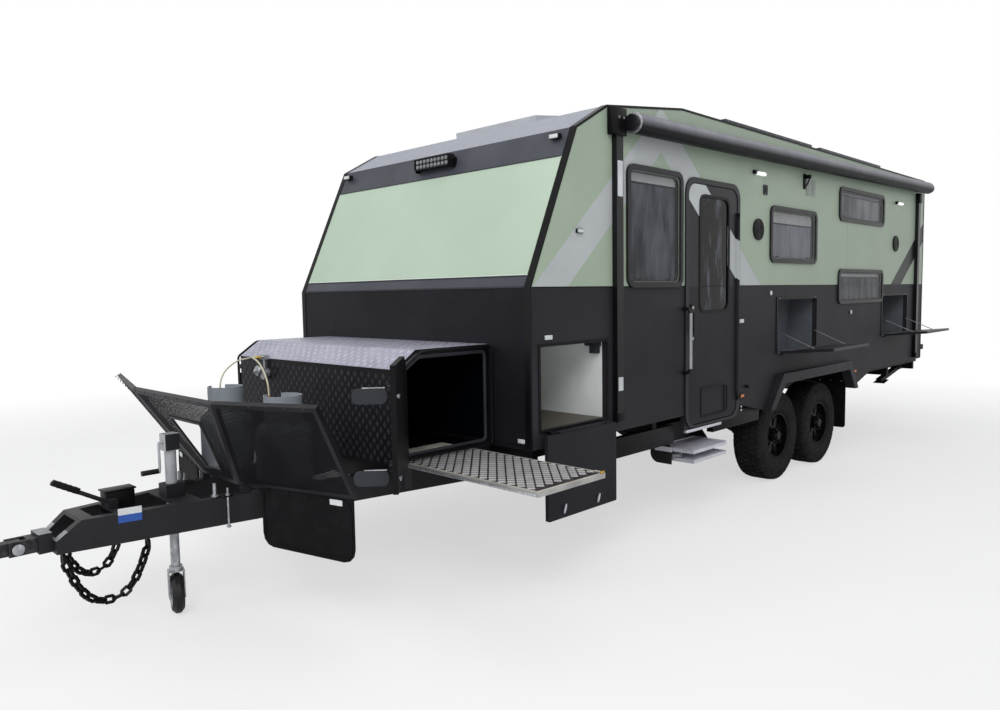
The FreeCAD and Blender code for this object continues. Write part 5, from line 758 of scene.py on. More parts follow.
def on_side(side):
    """Places a point of a side wall: along the van, up, and out from its skin."""
    return lambda y, z, out: (side * (WALL + out), y, z)


def on_front(x, along, out):
    """Places a point on the sloped front, along its slope from the belt."""
    run, rise = BROW[0], BROW[1] - BELT
    length = math.hypot(run, rise)
    return (x, (along * run - out * rise) / length, BELT + (along * rise + out * run) / length)


# Gas hoses
HOSE = 0.01
HOSES = {
    "gas_hose_road": (0.387, ((-490, -1045, 1130), (-490, -1045, 1215), (-515, -935, 1302),
                              (-515, -840.3, 1320), (-515, -764.3, 1320))),
    "gas_hose_kerb": (0.797, ((120, -1045, 1130), (120, -1045, 1202), (30, -1020, 1275),
                              (-100, -980, 1320), (-240, -940, 1338), (-368, -892, 1338),
                              (-485, -840.3, 1320), (-485, -764.3, 1320))),
}


def hoses():
    for name, (length, route) in HOSES.items():
        data = bpy.data.curves.new("line_" + name, "CURVE")
        data.dimensions = "3D"
        line = data.splines.new("NURBS")
        line.points.add(len(route) - 1)
        for point, spot in zip(line.points, route):
            point.co = (*van(*(v / 1000 for v in spot)), 1)
        line.order_u = 3
        line.use_endpoint_u = True
        line.resolution_u = 10
        data.bevel_depth = HOSE / 2
        data.bevel_resolution = 4
        data.use_fill_caps = True
        data.materials.append(hose_pale)
        made = shown("line_" + name, data, "van", (name,))


hoses()


# Road wheels: outer radius, depth of the tread, and blocks in a turn
TYRE_R, GROOVE, PITCHES = 0.4, 0.0095, 46


def crown(t):
    """Radius of the tread's outer surface at a distance from the tyre's middle."""
    t = abs(t)
    points = ((0, TYRE_R), (0.073, TYRE_R), (0.119, 0.391), (0.1325, 0.346))
    for (a, ra), (b, rb) in zip(points, points[1:]):
        if t <= b:
            return ra + (rb - ra) * (t - a) / (b - a)
    return points[-1][1]


def tyre_mesh():
    """A tyre's skin with five rows of tread blocks and small ribs on its shoulders."""
    m = Maker(tyre_black, local=True)
    half = ((0.0, TYRE_R - GROOVE), (0.07, TYRE_R - GROOVE), (0.108, 0.3835), (0.121, 0.374),
            (0.1285, 0.35), (0.1315, 0.332), (0.1325, 0.308), (0.1325, 0.296), (0.1308, 0.293),
            (0.1308, 0.287), (0.1322, 0.284), (0.13, 0.262), (0.1282, 0.246), (0.13, 0.243),
            (0.1296, 0.234), (0.1245, 0.228), (0.114, 0.214), (0.1, 0.2045), (0.088, 0.2035))
    m.lathe([(-a, r) for a, r in reversed(half[1:])] + list(half), (0, 0, 0), (1, 0, 0), 108,
            closed=True)
    step = 2 * math.pi / PITCHES
    rows = [((-0.1318, -0.125, -0.112, -0.09), 0.0, 0.64, 0.4),
            ((-0.083, -0.062, -0.04), 0.5, 0.66, -2.4),
            ((-0.032, 0.0, 0.032), 0.1, 0.7, 3.4),
            ((0.04, 0.062, 0.083), 0.6, 0.66, -2.4),
            ((0.09, 0.112, 0.125, 0.1318), 0.3, 0.64, 0.4)]
    for index, (ts, phase, share, skew) in enumerate(rows):
        middle = (ts[0] + ts[-1]) / 2
        for n in range(PITCHES):
            tops, bases = [], []
            for t in ts:
                mirrored = index == 2 and n % 2 == 0
                lean = skew * (t - middle) * (-1 if mirrored else 1)
                a0 = (n + phase + lean + (0.06 if n % 2 else 0)) * step
                a1 = a0 + share * step * (1.08 if n % 3 else 0.9)
                r = crown(t)
                low = r - GROOVE * 1.15
                for angle in (a0, a1):
                    tops.append((t, r * math.cos(angle), r * math.sin(angle)))
                for angle in (a0 - 0.05 * step, a1 + 0.05 * step):
                    bases.append((t, low * math.cos(angle), low * math.sin(angle)))
            count, last = len(ts), 2 * len(ts) - 2
            faces = []
            for i in range(count - 1):
                a, b, c, d = 2 * i, 2 * i + 1, 2 * i + 3, 2 * i + 2
                faces += [(a, b, c, d), (a, d, d + 2 * count, a + 2 * count),
                          (b, b + 2 * count, c + 2 * count, c)]
            faces += [(0, 2 * count, 2 * count + 1, 1),
                      (last, last + 1, last + 1 + 2 * count, last + 2 * count)]
            m.shape(tops + bases, faces)
    for side in (-1, 1):
        for n in range(PITCHES * 2):
            a = (n + 0.25) * step / 2
            ring = []
            for r, out in ((0.336, 0.1312), (0.322, 0.1326)):
                for turn in (a, a + step * 0.2):
                    ring.append((side * out, r * math.cos(turn), r * math.sin(turn)))
            top = [(side * 0.1338, y * 0.998, z * 0.998) for _, y, z in ring]
            m.shape(ring + top, ((0, 1, 5, 4), (1, 3, 7, 5), (3, 2, 6, 7), (2, 0, 4, 6),
                                 (4, 5, 7, 6)))
    bmesh.ops.scale(m.bm, vec=(0.99, 1, 1), verts=m.bm.verts)
    return m.mesh("tyre_tread", 28)


def nut(shank, tip):
    """Profile of a wheel nut: its flange, and how far its flats and its tip stand out."""
    return (0, 0.0125), (0.004, 0.0125), (0.005, 0.0098), (shank, 0.0098), (tip, 0.006)


def wheel_details(name, body, at, side):
    """Wheel nuts, a turned centre cap and a valve on a rim's outer face."""
    m = Maker(rim_black, local=True)
    for c, s in circle(6):
        m.lathe(nut(0.021, 0.026), (0, c * STUD_CIRCLE, s * STUD_CIRCLE), (side, 0, 0), 6)
    m.lathe(((0, 0.046), (0.012, 0.045), (0.018, 0.041), (0.0205, 0.034), (0.0195, 0.03),
             (0.0195, 0.01), (0.0205, 0.004)), (0, 0, 0), (side, 0, 0), 32)
    m.use(rubber_black)
    m.tube(((0, 0.15, 0.02), (side * 0.018, 0.146, 0.02), (side * 0.03, 0.144, 0.02)), 0.0045, 8)
    m.finish(name, body, at)


def road_wheels():
    data = tyre_mesh()
    for corner in ("front_kerb", "front_road", "rear_kerb", "rear_road"):
        low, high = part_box("tyre_" + corner)
        centre = low.lerp(high, 0.5) - SHIFT
        shown("tread_" + corner, data, "wheel_" + corner, ("tyre_" + corner,), centre)
        side = 1 if centre.x > 0 else -1
        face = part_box("rim_" + corner)[1 if side > 0 else 0].x
        wheel_details("hub_" + corner, "wheel_" + corner, (face - side * 0.03, centre.y, centre.z),
                      side)
    low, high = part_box("spare_tyre")
    centre = low.lerp(high, 0.5) - SHIFT
    spare = shown("tread_spare", data, "van", ("spare_tyre",))
    spare.matrix_world = Matrix.Translation(van(*centre)) @ Matrix.Rotation(math.pi / 2, 4, "Z")


road_wheels()


# Body trim
def body_trim():
    """Corner mouldings along each side's edge, belt line, and strips on the front wall."""
    m = Maker(satin)
    path = [(0.0, 0.805), (0.0, BELT), BROW, SLOPE, RIDGE, (TAIL, RIDGE[1]), (TAIL, 0.845)]
    section = ((1.158, -0.001), (1.158, 0.0035), (1.2035, 0.0035), (1.2035, -0.011),
               (1.2, -0.011), (1.2, -0.001))
    normals = []
    for (ya, za), (yb, zb) in zip(path, path[1:]):
        length = math.hypot(yb - ya, zb - za)
        normals.append(Vector((-(zb - za) / length, (yb - ya) / length)))
    for side in (-1, 1):
        rings = []
        for i, (y, z) in enumerate(path):
            a, b = normals[max(i - 1, 0)], normals[min(i, len(normals) - 1)]
            out = (a + b) / (1 + a.dot(b))
            rings.append([(side * x, y + out.x * rise, z + out.y * rise) for x, rise in section])
        m.rings(rings)
    for side in (-1, 1):
        place = on_side(side)
        m.plate(square((0.0, BELT - 0.004), (TAIL, BELT + 0.004)), place, 0.0, 0.0015)
    m.use(graphite)
    for along, tall in ((0.004, 0.01), (0.075, 0.006), (0.856, 0.006)):
        m.plate(rectangle((-1.15, along - tall / 2), (1.15, along + tall / 2), 0.002, 2),
                on_front, 0.0, 0.004)
    m.use(black)
    m.block((-1.15, -0.006, 0.8), (1.15, 0.0, 0.83), 0.002)
    for x in row(-1.12, 0.14, 17):
        m.bolt((x, -0.006, 0.815), (0, -1, 0), 0.005)
    m.use(white_trim)
    for x in (-1.15, 1.098):
        m.block((x, -0.007, 0.838), (x + 0.052, 0.0, 0.862), 0.002)
    m.finish("body_trim", "van")


def openings_trim():
    """Rings and bars round the openings, side rails under the door, locks and small sockets."""
    m = Maker(satin)
    for side in (-1, 1):
        m.ring((0.066, 0.889), (0.739, 1.416), 0.019, (0.016, 0.01), on_side(side), 0.0, 0.004)
    place = on_side(1)
    wide = 0.024
    for y0, y1, z0, z1 in HATCHES:
        m.use(satin)
        for low, high in (((y0 - wide, z0), (y0, z1 + wide)), ((y0, z1), (y1, z1 + wide)),
                          ((y1, z0), (y1 + wide, z1 + wide))):
            m.plate(rectangle(low, high, 0.002, 2), place, 0.0, 0.007)
        m.use(zinc)
        for y in (y0 + 0.03, y1 - 0.03):
            m.bolt((WALL + 0.007, y, z1 + 0.012), (1, 0, 0), 0.004)
    m.use(white_trim)
    for y, z, r in ((4.857, 1.467, 0.021), (3.045, 1.679, 0.019)):
        m.lathe(((0, r), (0.004, r), (0.006, r * 0.8), (0.006, r * 0.35), (0.004, r * 0.3)),
                (WALL, y, z), (1, 0, 0), 24)
    m.block((WALL, 2.486, 1.446), (WALL + 0.012, 2.546, 1.476), 0.002)
    for z in (0.74, 0.767):
        m.lathe(((0, 0.008), (0.003, 0.008), (0.004, 0.005)), (WALL, 2.531, z), (1, 0, 0), 12)
    m.use(satin)
    m.block((WALL, 2.592, 0.915), (WALL + 0.03, 2.64, 0.935), 0.003)
    m.block((WALL, 4.8, 1.45), (WALL + 0.006, 4.832, 1.484), 0.002)
    for y0, y1 in ((0.75, 1.585), (2.15, 2.93)):
        m.block((1.105, y0, 0.605), (1.16, y1, 0.74), 0.004)
    m.use(white_trim)
    m.block((WALL, 0.124, 1.437), (WALL + 0.01, 0.186, 1.463), 0.002)
    m.use(graphite)
    m.block((1.045, 0.69, 1.365), (1.16, 0.7215, 1.404), 0.003)
    m.block((1.09, 0.684, 1.318), (1.15, 0.7215, 1.366), 0.003)
    m.finish("openings_trim", "van")


def windows():
    """Blinds behind the panes, gasket lines and liners inside the frames, and catches."""
    m = Maker(iron)
    kerb = ((FRONT_WINDOW, 0.1, shade_dark, shade_white),
            (MIDDLE_WINDOW, 0.26, shade_pale, shade_white),
            (HIGH_WINDOW, 0.14, shade_grey, shade_pale),
            (LOW_WINDOW, 0.16, shade_dark, shade_white))
    for side, rows in ((1, kerb), (-1, kerb[:2] + kerb[3:])):
        place = on_side(side)
        for (y0, y1, z0, z1), drop, tone, valance in rows:

            def ring(inset, width, radii, back, front):
                m.ring((y0 + inset, z0 + inset), (y1 - inset, z1 - inset), width, radii, place,
                       back, front)

            m.use(iron)
            ring(0.028, 0.009, (0.045, 0.04), 0.012, 0.0165)
            m.use(satin)
            ring(0.0422, 0.0038, (0.047, 0.044), -0.034, -0.0005)
            for y in (y0 + 0.16, y1 - 0.16):
                m.block((side * WALL - 0.012, y - 0.02, z0 + 0.04),
                        (side * WALL - 0.002, y + 0.02, z0 + 0.06), 0.002)
            left, right, bottom, top = y0 + 0.034, y1 - 0.034, z0 + 0.034, z1 - 0.034
            bar = top - drop * (top - bottom)
            for paint, low, high, depth, half in (
                    (tone, bottom, bar, 0.03, 0.0015), (valance, bar, top, 0.026, 0.0015),
                    (graphite, bar - 0.007, bar + 0.007, 0.03, 0.006)):
                x = side * (WALL - depth)
                m.use(paint)
                m.block((x - half, left, low), (x + half, right, high),
                        0.003 if paint == graphite else 0.0)
    m.finish("window_shades", "van")


def speakers_and_lamps(m):
    for y, z in SPEAKERS:
        profile = [(0.012, 0.088)]
        for r in row(0.082, -0.012, 6):
            profile += [(0.0165, r), (0.0165, r - 0.005), (0.0145, r - 0.006), (0.0145, r - 0.011)]
        m.lathe(profile + [(0.0165, 0.008)], (WALL, y, z), (1, 0, 0), 40)
    for y, z in LAMPS:
        m.use(lamp_lit)
        m.block((WALL + 0.012, y - 0.04, z - 0.02), (WALL + 0.04, y + 0.095, z + 0.006), 0.003)
        m.use(trim)
        m.block((WALL, y - 0.07, z - 0.01), (WALL + 0.024, y - 0.045, z + 0.016), 0.004)


def wall_fittings(m):
    """Socket, awning bracket, vents and the labels on the awning's arm."""
    place = on_side(1)
    m.use(graphite)
    m.plate(rectangle((2.878, 2.49), (2.945, 2.57), 0.006), place, 0.0, 0.01)
    m.use(trim)
    m.plate(rectangle((2.893, 2.508), (2.93, 2.552), 0.004), place, 0.01, 0.013)
    m.use(satin)
    m.block((WALL, 3.655, 2.6), (WALL + 0.012, 3.7, 2.735), 0.003)
    m.block((WALL + 0.006, 3.664, 2.69), (WALL + 0.064, 3.692, 2.722), 0.004)
    m.tube(((WALL + 0.008, 3.678, 2.62), (WALL + 0.03, 3.678, 2.64), (WALL + 0.055, 3.678, 2.7)),
           0.007, 8)
    m.use(vent_grey)
    for y in (3.765, 3.88):
        m.plate(rectangle((y - 0.04, 2.545), (y + 0.04, 2.695), 0.006), place, 0.0, 0.004)
        for z in row(2.562, 0.016, 8):
            m.block((WALL + 0.004, y - 0.032, z), (WALL + 0.008, y + 0.032, z + 0.006), 0.001)
    m.use(clear)
    m.plate(rectangle((0.798, 2.312), (0.852, 2.535), 0.003), place, 0.0382, 0.0396)
    m.plate(rectangle((0.8, 1.072), (0.85, 1.16), 0.003), place, 0.0382, 0.0396)


def awning_roll(m):
    """Rolled cloth with its end ring, and the brackets and feet of its arms."""
    m.use(satin)
    m.block((WALL + 0.002, 0.735, 2.69), (WALL + 0.052, 0.885, 2.862), 0.008)
    m.use(zinc)
    m.lathe(((0, 0.06), (0, 0.0665), (0.007, 0.0665), (0.007, 0.06)), (1.29, 0.893, 2.7704),
            ROLL_AXIS, 40)
    m.use(fabric)
    m.lathe(((0, ROLL_R), (6.07, ROLL_R)), ROLL, ROLL_AXIS, 40)
    m.use(satin)
    m.block((WALL + 0.002, 6.82, 2.7), (WALL + 0.052, 6.91, 2.812), 0.008)
    for y in (0.825, 6.865):
        m.block((WALL + 0.004, y - 0.04, 0.872), (WALL + 0.046, y + 0.04, 0.925), 0.004)
    m.use(zinc)
    for y in (0.8, 0.85):
        m.bolt((WALL + 0.052, y, 2.8), (1, 0, 0), 0.006)


def side_details():
    """Everything small on the side walls, with the sill strip, markers and corner lamps."""
    m = Maker(trim)
    speakers_and_lamps(m)
    wall_fittings(m)
    awning_roll(m)
    m.use(alloy)
    m.block((WALL - 0.02, 1.69, 0.666), (WALL + 0.004, 2.205, 0.688), 0.003)
    for side in (-1, 1):
        place = on_side(side)
        m.use(amber)
        for y in (2.52, 4.965):
            m.plate(rectangle((y - 0.026, 0.848), (y + 0.026, 0.868), 0.004), place, 0.013, 0.018)
        m.use(clear)
        m.plate(rectangle((0.425, 2.07), (0.475, 2.09), 0.004), place, 0.013, 0.018)
        m.use(white_trim)
        x = side * 1.08
        m.block((x - 0.032, 0.359, 2.638), (x + 0.032, 0.371, 2.662), 0.003)
    m.finish("side_fittings", "van")


def light_bar():
    """Two rows of lenses in a slim surround, its feet and its cooling ribs."""
    m = Maker(lens_smoke)
    for z in (2.6105, 2.6445):
        for x in row(-0.152, 0.038, 9):
            m.lathe(((0, 0.0145), (0.003, 0.014), (0.0055, 0.008), (0.006, 0.002)),
                    (x, 0.3265, z), (0, -1, 0), 16)
    m.use(satin)
    m.frame(rectangle((-0.182, 2.588), (0.182, 2.667), 0.008),
            rectangle((-0.172, 2.596), (0.172, 2.659), 0.006),
            lambda x, z, out: (x, 0.326 - out, z), 0.0, 0.007)
    m.block((-0.172, 0.3215, 2.6255), (0.172, 0.3265, 2.6295), 0.001)
    for side in (-1, 1):
        x = side * 0.186
        m.block((x - 0.004, 0.335, 2.575), (x + 0.004, 0.392, 2.65), 0.002)
        m.bolt((x + side * 0.004, 0.352, 2.628), (side, 0, 0), 0.007)
    for x in row(-0.165, 0.0275, 13):
        m.block((x - 0.002, 0.332, 2.665), (x + 0.002, 0.38, 2.673), 0.001)
    m.finish("light_bar", "van")


body_trim()
openings_trim()
windows()
side_details()
light_bar()


# Entry door
def entry_door():
    m = Maker(satin)
    place = on_side(1)
    m.ring((1.85, 1.542), (2.306, 2.416), 0.022, (0.08, 0.066), place, 0.006, 0.0115, 6)
    m.ring((1.88, 0.758), (2.25, 0.988), 0.012, (0.02, 0.014), place, 0.006, 0.0105)
    m.block((WALL + 0.006, 1.724, 1.335), (WALL + 0.014, 1.782, 1.61), 0.004)
    m.use(zinc)
    for z in (1.585, 1.36):
        m.lathe(((0, 0.012), (0.003, 0.012), (0.004, 0.008)), (WALL + 0.014, 1.753, z), (1, 0, 0),
                20)
    m.finish("door_fittings", "entry_door")


entry_door()


# Tool box, its doors and the tray
def tool_box():
    """Lozenge plate, edge mouldings, the open door's seal, bolts and the tray's runners."""
    m = Maker(lozenge_black)
    m.lozenges((-0.86, -0.7101, 0.772), (1, 0, 0), (0, 0, 1), 1.72, 0.525, 0.066, (0.5, 0.66))
    m.use(lozenge_bright)
    m.lozenges((-0.88, -0.708, 1.3125), (1, 0, 0), (0, 0.145, 0.0975), 1.76, 0.17, 0.066,
               (0.5, 0.66))
    m.lozenges((-0.88, -0.56, 1.4101), (1, 0, 0), (0, 1, 0), 1.76, 0.55, 0.066, (0.5, 0.66))
    m.use(satin)
    edge = rounded(((-0.704, 0.818), (-0.704, 1.303), (-0.56, 1.401), (-0.026, 1.401),
                    (-0.026, 0.818)), 0.02, 3)
    seal = rounded(((-0.672, 0.836), (-0.672, 1.288), (-0.552, 1.368), (-0.042, 1.368),
                    (-0.042, 0.836)), 0.03, 4)
    for side in (-1, 1):
        m.tube([(side * 0.9075, y, z) for y, z in edge], 0.0075, 8, closed=True)
    m.use(graphite)
    m.tube([(0.866, y, z) for y, z in seal], 0.01, 10, closed=True)
    m.use(zinc)
    for x in (-0.8, -0.27, 0.27, 0.8):
        m.bolt((x, BOX_FRONT, 0.775), (0, -1, 0), 0.006)
    m.use(iron)
    for y in (-0.64, -0.172):
        m.block((-0.55, y - 0.012, 0.767), (0.898, y + 0.012, 0.7735), 0.002)
    m.finish("toolbox_plates", "van")


def tool_box_door(side, degrees):
    """Latches of a door that stands open by some degrees, in the door's own directions."""
    turn = math.radians(degrees)
    hinge = Vector((side * 0.9, -0.703, 0))
    along = Vector((side * math.sin(turn), math.cos(turn), 0))
    out = Vector((side * math.cos(turn), -math.sin(turn), 0))

    def place(a, z, rise):
        return hinge + along * a + out * rise + Vector((0, 0, z))

    m = Maker(graphite)
    for z in (1.253, 0.873):
        m.use(graphite)
        if degrees:
            lever = rectangle((0.012, -0.036), (0.172, 0.036), 0.03, 5)
            m.rings([[place(a, z + b, rise) for rise, b in lever] for a in (0.61, 0.616)])
            m.use(zinc)
            m.tube((place(0.613, z + 0.038, 0.02), place(0.613, z + 0.038, 0.125)), 0.0025, 6)
        else:
            m.plate(rectangle((0.52, z - 0.036), (0.66, z + 0.036), 0.02), place, 0.001, 0.006)
            m.use(zinc)
        m.tube((place(0.616, z, -0.006), place(0.616, z, -0.046)), 0.007, 10)
        m.plate(square((0.592, z - 0.007), (0.64, z + 0.007)), place, -0.046, -0.04)
    m.finish("door_latches_" + side_of(side), "toolbox_door_" + side_of(side))


def tray():
    m = Maker(tray_line)
    m.block((0.75, -0.65, 0.7935), (1.822, -0.162, 0.8004), 0.0003)
    m.use(lozenge_tray)
    m.lozenges((0.754, -0.648, 0.8005), (1, 0, 0), (0, 1, 0), 1.064, 0.484, 0.064, (0.8, 0.8),
               0.0016)
    m.use(zinc)
    m.block((0.59, -0.668, 0.776), (1.835, -0.662, 0.786), 0.002)
    m.use(label_brass)
    m.block((1.828, -0.186, 0.8), (1.84, -0.158, 0.812), 0.003)
    m.finish("tray_tread", "slide_tray")


tool_box()
tool_box_door(1, 133)
tool_box_door(-1, 0)
tray()


# Storage flaps
def storage_flap(side, x, z):
    """Two oval latches, each with a leaning lever, on a flap's outer face."""
    m = Maker(satin)

    def place(y, z, out):
        return (x + side * out, y, z)

    lean = 0.01
    for y in (0.2125, 0.54):
        m.use(satin)
        m.plate([(y + c * 0.016, z + s * 0.024) for c, s in circle(28)], place, 0.0, 0.003)
        m.use(alloy)
        m.plate([(y + c * 0.008 + s * lean, z + s * 0.028) for c, s in circle(20)], place,
                0.003, 0.01)
    m.finish("flap_latches_" + side_of(side), "storage_flap_" + side_of(side))


storage_flap(1, 1.2652, 0.432)
storage_flap(-1, -1.2402, 1.345)


# Drawbar
def rail_x(y):
    return 0.118 + 0.1777 * (y + 2.18)


def drawbar_details():
    """Plate, bolts and a small box on the drawbar; the yoke's pin head; the brake's grip."""
    m = Maker(white_trim)
    for paint, low, high in ((white_trim, 0.6425, 0.676), (label_blue, 0.604, 0.6425)):
        m.use(paint)
        m.plate(square((-1.913, low), (-1.806, high)),
                lambda y, z, out: (rail_x(y) + out, y, z), 0.0, 0.002)
    m.use(zinc)
    for side in (-1, 1):
        x, y = side * (rail_x(-1.39) + 0.008), -1.39
        m.tube(((x, y, 0.485), (x, y, 0.7)), 0.006, 10)
        m.bolt((x, y, 0.493), (0, 0, -1), 0.009, 0.01)
        m.bolt((x, y, 0.662), (0, 0, 1), 0.009, 0.01)
        x = side * (rail_x(-1.44) - 0.03)
        m.tube(((x, -1.44, 0.65), (x, -1.44, 0.725)), 0.01, 10)
        m.bolt((x, -1.44, 0.655), (0, 0, 1), 0.014, 0.012)
    m.use(black)
    for side in (-1, 1):
        x = side * (rail_x(-1.39) - 0.03)
        m.block((x - 0.045, -1.42, 0.65), (x + 0.045, -1.36, 0.657), 0.002)
    m.use(satin)
    m.block((-0.105, -1.905, 0.612), (-0.018, -1.76, 0.722), 0.006)
    m.block((-0.112, -1.912, 0.722), (-0.014, -1.752, 0.731), 0.004)
    m.finish("drawbar_fittings", "van")
    m = Maker(zinc)
    m.lathe(((0, 0.026), (0.006, 0.026), (0.009, 0.018)), (0.0615, -2.325, 0.55), (1, 0, 0), 24)
    m.finish("yoke_pin_head", "coupling_yoke")
    m = Maker(trim)
    a, b = Vector((0, -2.035, 0.762)), Vector((0, -2.15, 0.827))
    m.tube((a, a.lerp(b, 0.2), a.lerp(b, 0.8), b), 0.0165, 12)
    for t in (0.15, 0.35, 0.55, 0.75):
        spot = a.lerp(b, t)
        m.lathe(((-0.003, 0.0175), (0.003, 0.0175)), spot, b - a, 14)
    m.finish("brake_grip", "van")


def shield_details():
    """Clips along the mesh's upper edge, on its wings and on its middle."""
    m = Maker(iron)
    fold_top, wing_top = Vector((0.5, -1.572, 1.19)), Vector((1.19, -1.412, 1.214))
    for side in (-1, 1):
        for k in range(6):
            spot = fold_top.lerp(wing_top, (k + 0.5) / 6)
            m.bolt((side * spot.x, spot.y - 0.013, spot.z), (side * 0.2, -1, 0), 0.005)
    for x in row(-0.42, 0.14, 7):
        m.bolt((x, -1.585, 1.19), (0, -1, 0), 0.005)
    m.finish("shield_clips", "van")


def flap_details():
    """Edges and clamps of the mud flaps in front and behind."""
    m = Maker(rubber_black)
    run = Vector((0.632, 0.15, 0)).normalized()
    out = Vector((run.y, -run.x, 0))
    for side in (-1, 1):
        def place(a, z, rise):
            spot = Vector((0.384, -1.2525, z)) + run * a + out * (0.0045 + rise)
            return (side * spot.x, spot.y, spot.z)
        m.use(rubber_black)
        edge = rounded(((0.012, 0.7), (0.012, 0.394), (0.636, 0.394), (0.636, 0.7)), 0.07, 6)
        inner = rounded(((0.02, 0.7), (0.02, 0.402), (0.628, 0.402), (0.628, 0.7)), 0.062, 6)
        m.frame(edge, inner, place, 0.0, 0.0025)
        m.use(white_trim)
        m.plate(rectangle((0.495, 0.668), (0.577, 0.696), 0.003), place, 0.0, 0.004)
        m.use(satin)
        for a in (0.06, 0.2, 0.34, 0.46):
            m.bolt(place(a, 0.685, 0.0), (side * out.x, out.y, 0), 0.006)
        m.use(black)
        low, high = sorted((side * 0.852, side * 1.148))
        m.block((low, 4.878, 0.735), (high, 4.885, 0.775), 0.002)
        m.use(zinc)
        for x in (0.89, 1.0, 1.11):
            m.bolt((side * x, 4.878, 0.755), (0, -1, 0), 0.006)
    m.finish("flap_fittings", "van")


def gas_fittings():
    """Valve wheels, hose nuts and the gauge of the regulator."""
    m = Maker(label_brass)
    up, forward = (0, 0, 1), (0, -1, 0)
    for x, y in BOTTLES:
        m.lathe(((0, 0.019), (0.004, 0.021), (0.012, 0.021), (0.016, 0.018)), (x, y, 1.13),
                up, 12)
    for x in (-0.49, 0.12):
        m.lathe(((0, 0.011), (0.014, 0.011)), (x, -1.045, 1.118), up, 6)
        m.lathe(((0.012, 0.0075), (0.032, 0.0068)), (x, -1.045, 1.118), up, 16)
    for x in (-0.515, -0.485):
        m.lathe(((0, 0.01), (0.012, 0.01)), (x, -0.766, 1.32), forward, 6)
        m.lathe(((0.01, 0.0072), (0.028, 0.0066)), (x, -0.766, 1.32), forward, 16)
    m.use(zinc)
    m.lathe(((0, 0.03), (0.006, 0.034), (0.018, 0.034), (0.024, 0.028), (0.026, 0.012),
             (0.038, 0.012), (0.04, 0.008)), (-0.5, -0.764, 1.232), forward, 28)
    m.finish("gas_fittings", "van")


drawbar_details()
shield_details()
flap_details()
gas_fittings()


# Steps
def steps():
    """Ribs on the upper and the lower tread."""
    for name, body, inner, z, count in (
            ("step_ribs", "van", 1.04, 0.56, 15),
            ("step_ribs_lower", "step_lower_tread", 1.03, 0.49, 14)):
        m = Maker(alloy)
        for y in row(1.64, 0.0335, count):
            m.block((inner, y, z), (1.29, y + 0.014, z + 0.0025), 0.001)
        m.finish(name, body)


steps()


# Rear
def rear_details():
    """Tail lamps, trim across the rear wall, the number plate's place and the spare's nuts."""
    m = Maker(red)
    for x in (-1.01, 1.01):
        for paint, low, high in ((red, 1.088, 1.205), (amber, 1.209, 1.29), (clear, 1.294, 1.372)):
            m.use(paint)
            m.block((x - 0.054, 7.176, low), (x + 0.054, 7.186, high), 0.004)
        m.use(trim)
        for z in row(1.1, 0.048, 6):
            m.block((x - 0.05, 7.185, z), (x + 0.05, 7.1875, z + 0.004))
    m.use(satin)
    m.block((-1.15, TAIL, 0.842), (1.15, TAIL + 0.006, 0.875), 0.002)
    m.block((-1.15, TAIL, BELT - 0.012), (1.15, TAIL + 0.004, BELT + 0.012), 0.001)
    m.use(white_trim)
    m.block((-0.2, TAIL, 1.5), (0.2, TAIL + 0.008, 1.62), 0.004)
    m.use(clear)
    for x in (-0.09, 0.09):
        m.block((x - 0.03, TAIL + 0.002, 1.632), (x + 0.03, TAIL + 0.02, 1.65), 0.004)
    m.use(zinc)
    for c, s in circle(6):
        m.lathe(nut(0.019, 0.023), (c * STUD_CIRCLE, 7.535, 1.29 + s * STUD_CIRCLE), (0, 1, 0), 6)
    m.finish("rear_fittings", "van")


def roof_details():
    """Rims of the solar panels, the front vent's louvres and the roof hatch's cap."""
    m = Maker(satin)
    for y0, y1 in SOLAR_PANELS:
        m.ring((0.392, y0 + 0.002), (1.088, y1 - 0.002), 0.02, (0.006, 0.004),
               lambda x, y, out: (x, y, SOLAR_TOP + out), 0.0, 0.003)
    m.use(lozenge_bright)
    for y in row(0.99, 0.062, 9):
        top = 2.97 + (y - 0.95) * 0.13
        m.block((-0.36, y, top), (0.36, y + 0.02, top + 0.012), 0.003)
    m.use(white_trim)
    m.block((-0.235, 5.175, 3.055), (0.235, 5.645, 3.075), 0.01)
    m.finish("roof_details", "van")


rear_details()
roof_details()


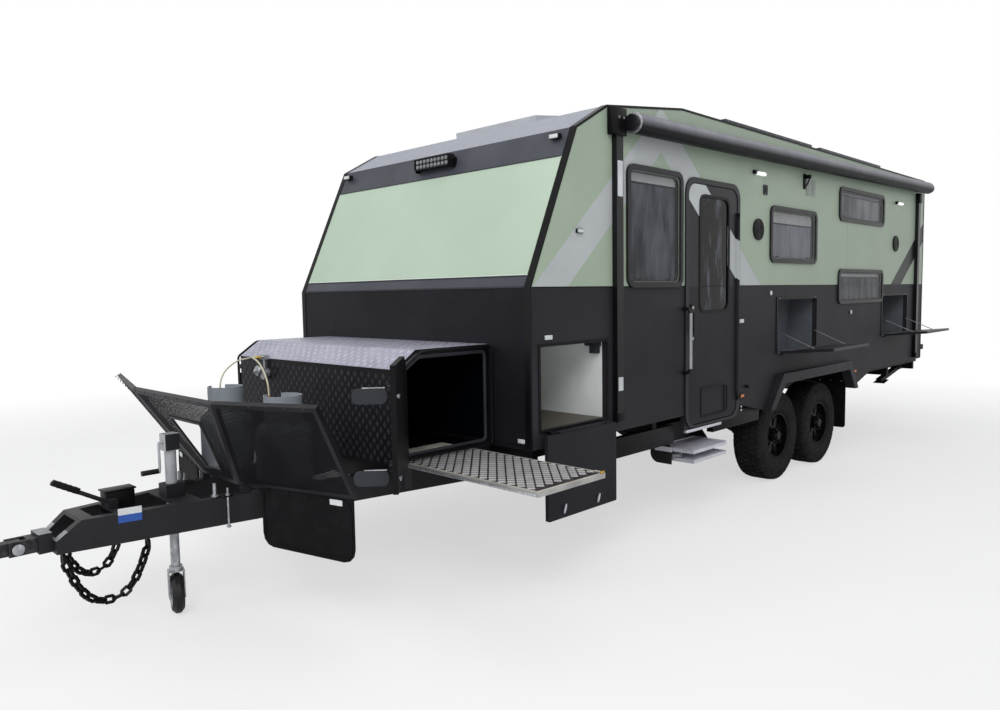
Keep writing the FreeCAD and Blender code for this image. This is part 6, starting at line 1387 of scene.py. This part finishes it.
# Floor, background and light
def set_floor():
    """A pale floor under the van, which fades out for the camera before its edge."""
    bm = bmesh.new()
    bmesh.ops.create_grid(bm, x_segments=1, y_segments=1, size=30)
    data = bpy.data.meshes.new("ground")
    bm.to_mesh(data)
    ground = put("ground", data)
    ground.location = (0, 4, cad_box[0][2])
    p = Paint("ground", rough=0.9)
    p.colour(p.tones((238, 238, 238), (243, 243, 243), 1.0))
    fade = p.ramp(p.vector("LENGTH", p.place), 6.5, 11.0)
    seen = p.add("ShaderNodeLightPath").outputs["Is Camera Ray"]
    clear_shader = p.add("ShaderNodeBsdfTransparent")
    blend = p.add("ShaderNodeMixShader", Fac=p.math("MULTIPLY", fade, seen))
    glow = p.add("ShaderNodeEmission")
    lit = p.add("ShaderNodeMixShader", Fac=p.math("MULTIPLY", seen, FLOOR_GLOW))
    for source, target in (
            (p.shader, lit.inputs[1]), (glow, lit.inputs[2]), (lit, blend.inputs[1]),
            (clear_shader, blend.inputs[2]),
            (blend, p.tree.nodes["Material Output"].inputs["Surface"])):
        p.feed(target, source.outputs[0])
    data.materials.append(p.material)


def set_background():
    """White behind the van and in gloss and panes; softer light on everything else."""
    world = bpy.data.worlds.new("studio")
    world.use_nodes = True
    scene.world = world
    tree = world.node_tree
    back, white = tree.nodes["Background"], tree.nodes.new("ShaderNodeBackground")
    for node, colour, strength in ((back, (0.96, 0.98, 1.0, 1), 0.55), (white, (1, 1, 1, 1), 1.0)):
        node.inputs["Color"].default_value = colour
        node.inputs["Strength"].default_value = strength
    path = tree.nodes.new("ShaderNodeLightPath")
    most = path.outputs["Is Camera Ray"]
    for kind in ("Is Glossy Ray", "Is Transmission Ray"):
        joined = tree.nodes.new("ShaderNodeMath")
        joined.operation = "MAXIMUM"
        tree.links.new(most, joined.inputs[0])
        tree.links.new(path.outputs[kind], joined.inputs[1])
        most = joined.outputs[0]
    pick = tree.nodes.new("ShaderNodeMixShader")
    for i, source in enumerate((most, back.outputs[0], white.outputs[0])):
        tree.links.new(source, pick.inputs[i])
    tree.links.new(pick.outputs[0], tree.nodes["World Output"].inputs["Surface"])


def set_lights():
    for name, spot, aim, size, power in (
            ("key", (7.0, -5.0, 7.5), (0, 2.5, 1.0), 6.0, 520),
            ("front", (-2.5, -8.0, 5.0), (0, 0, 1.0), 6.0, 200),
            ("top", (0.5, 5.0, 10.0), (0, 5.0, 1.0), 9.0, 180)):
        lamp = bpy.data.lights.new(name, "AREA")
        lamp.shape, lamp.size, lamp.energy = "DISK", size, power
        holder = put(name, lamp)
        holder.location = spot
        holder.rotation_euler = (Vector(aim) - Vector(spot)).to_track_quat("-Z", "Y").to_euler()


set_floor()
set_background()
set_lights()
scene.view_settings.view_transform = "Standard"
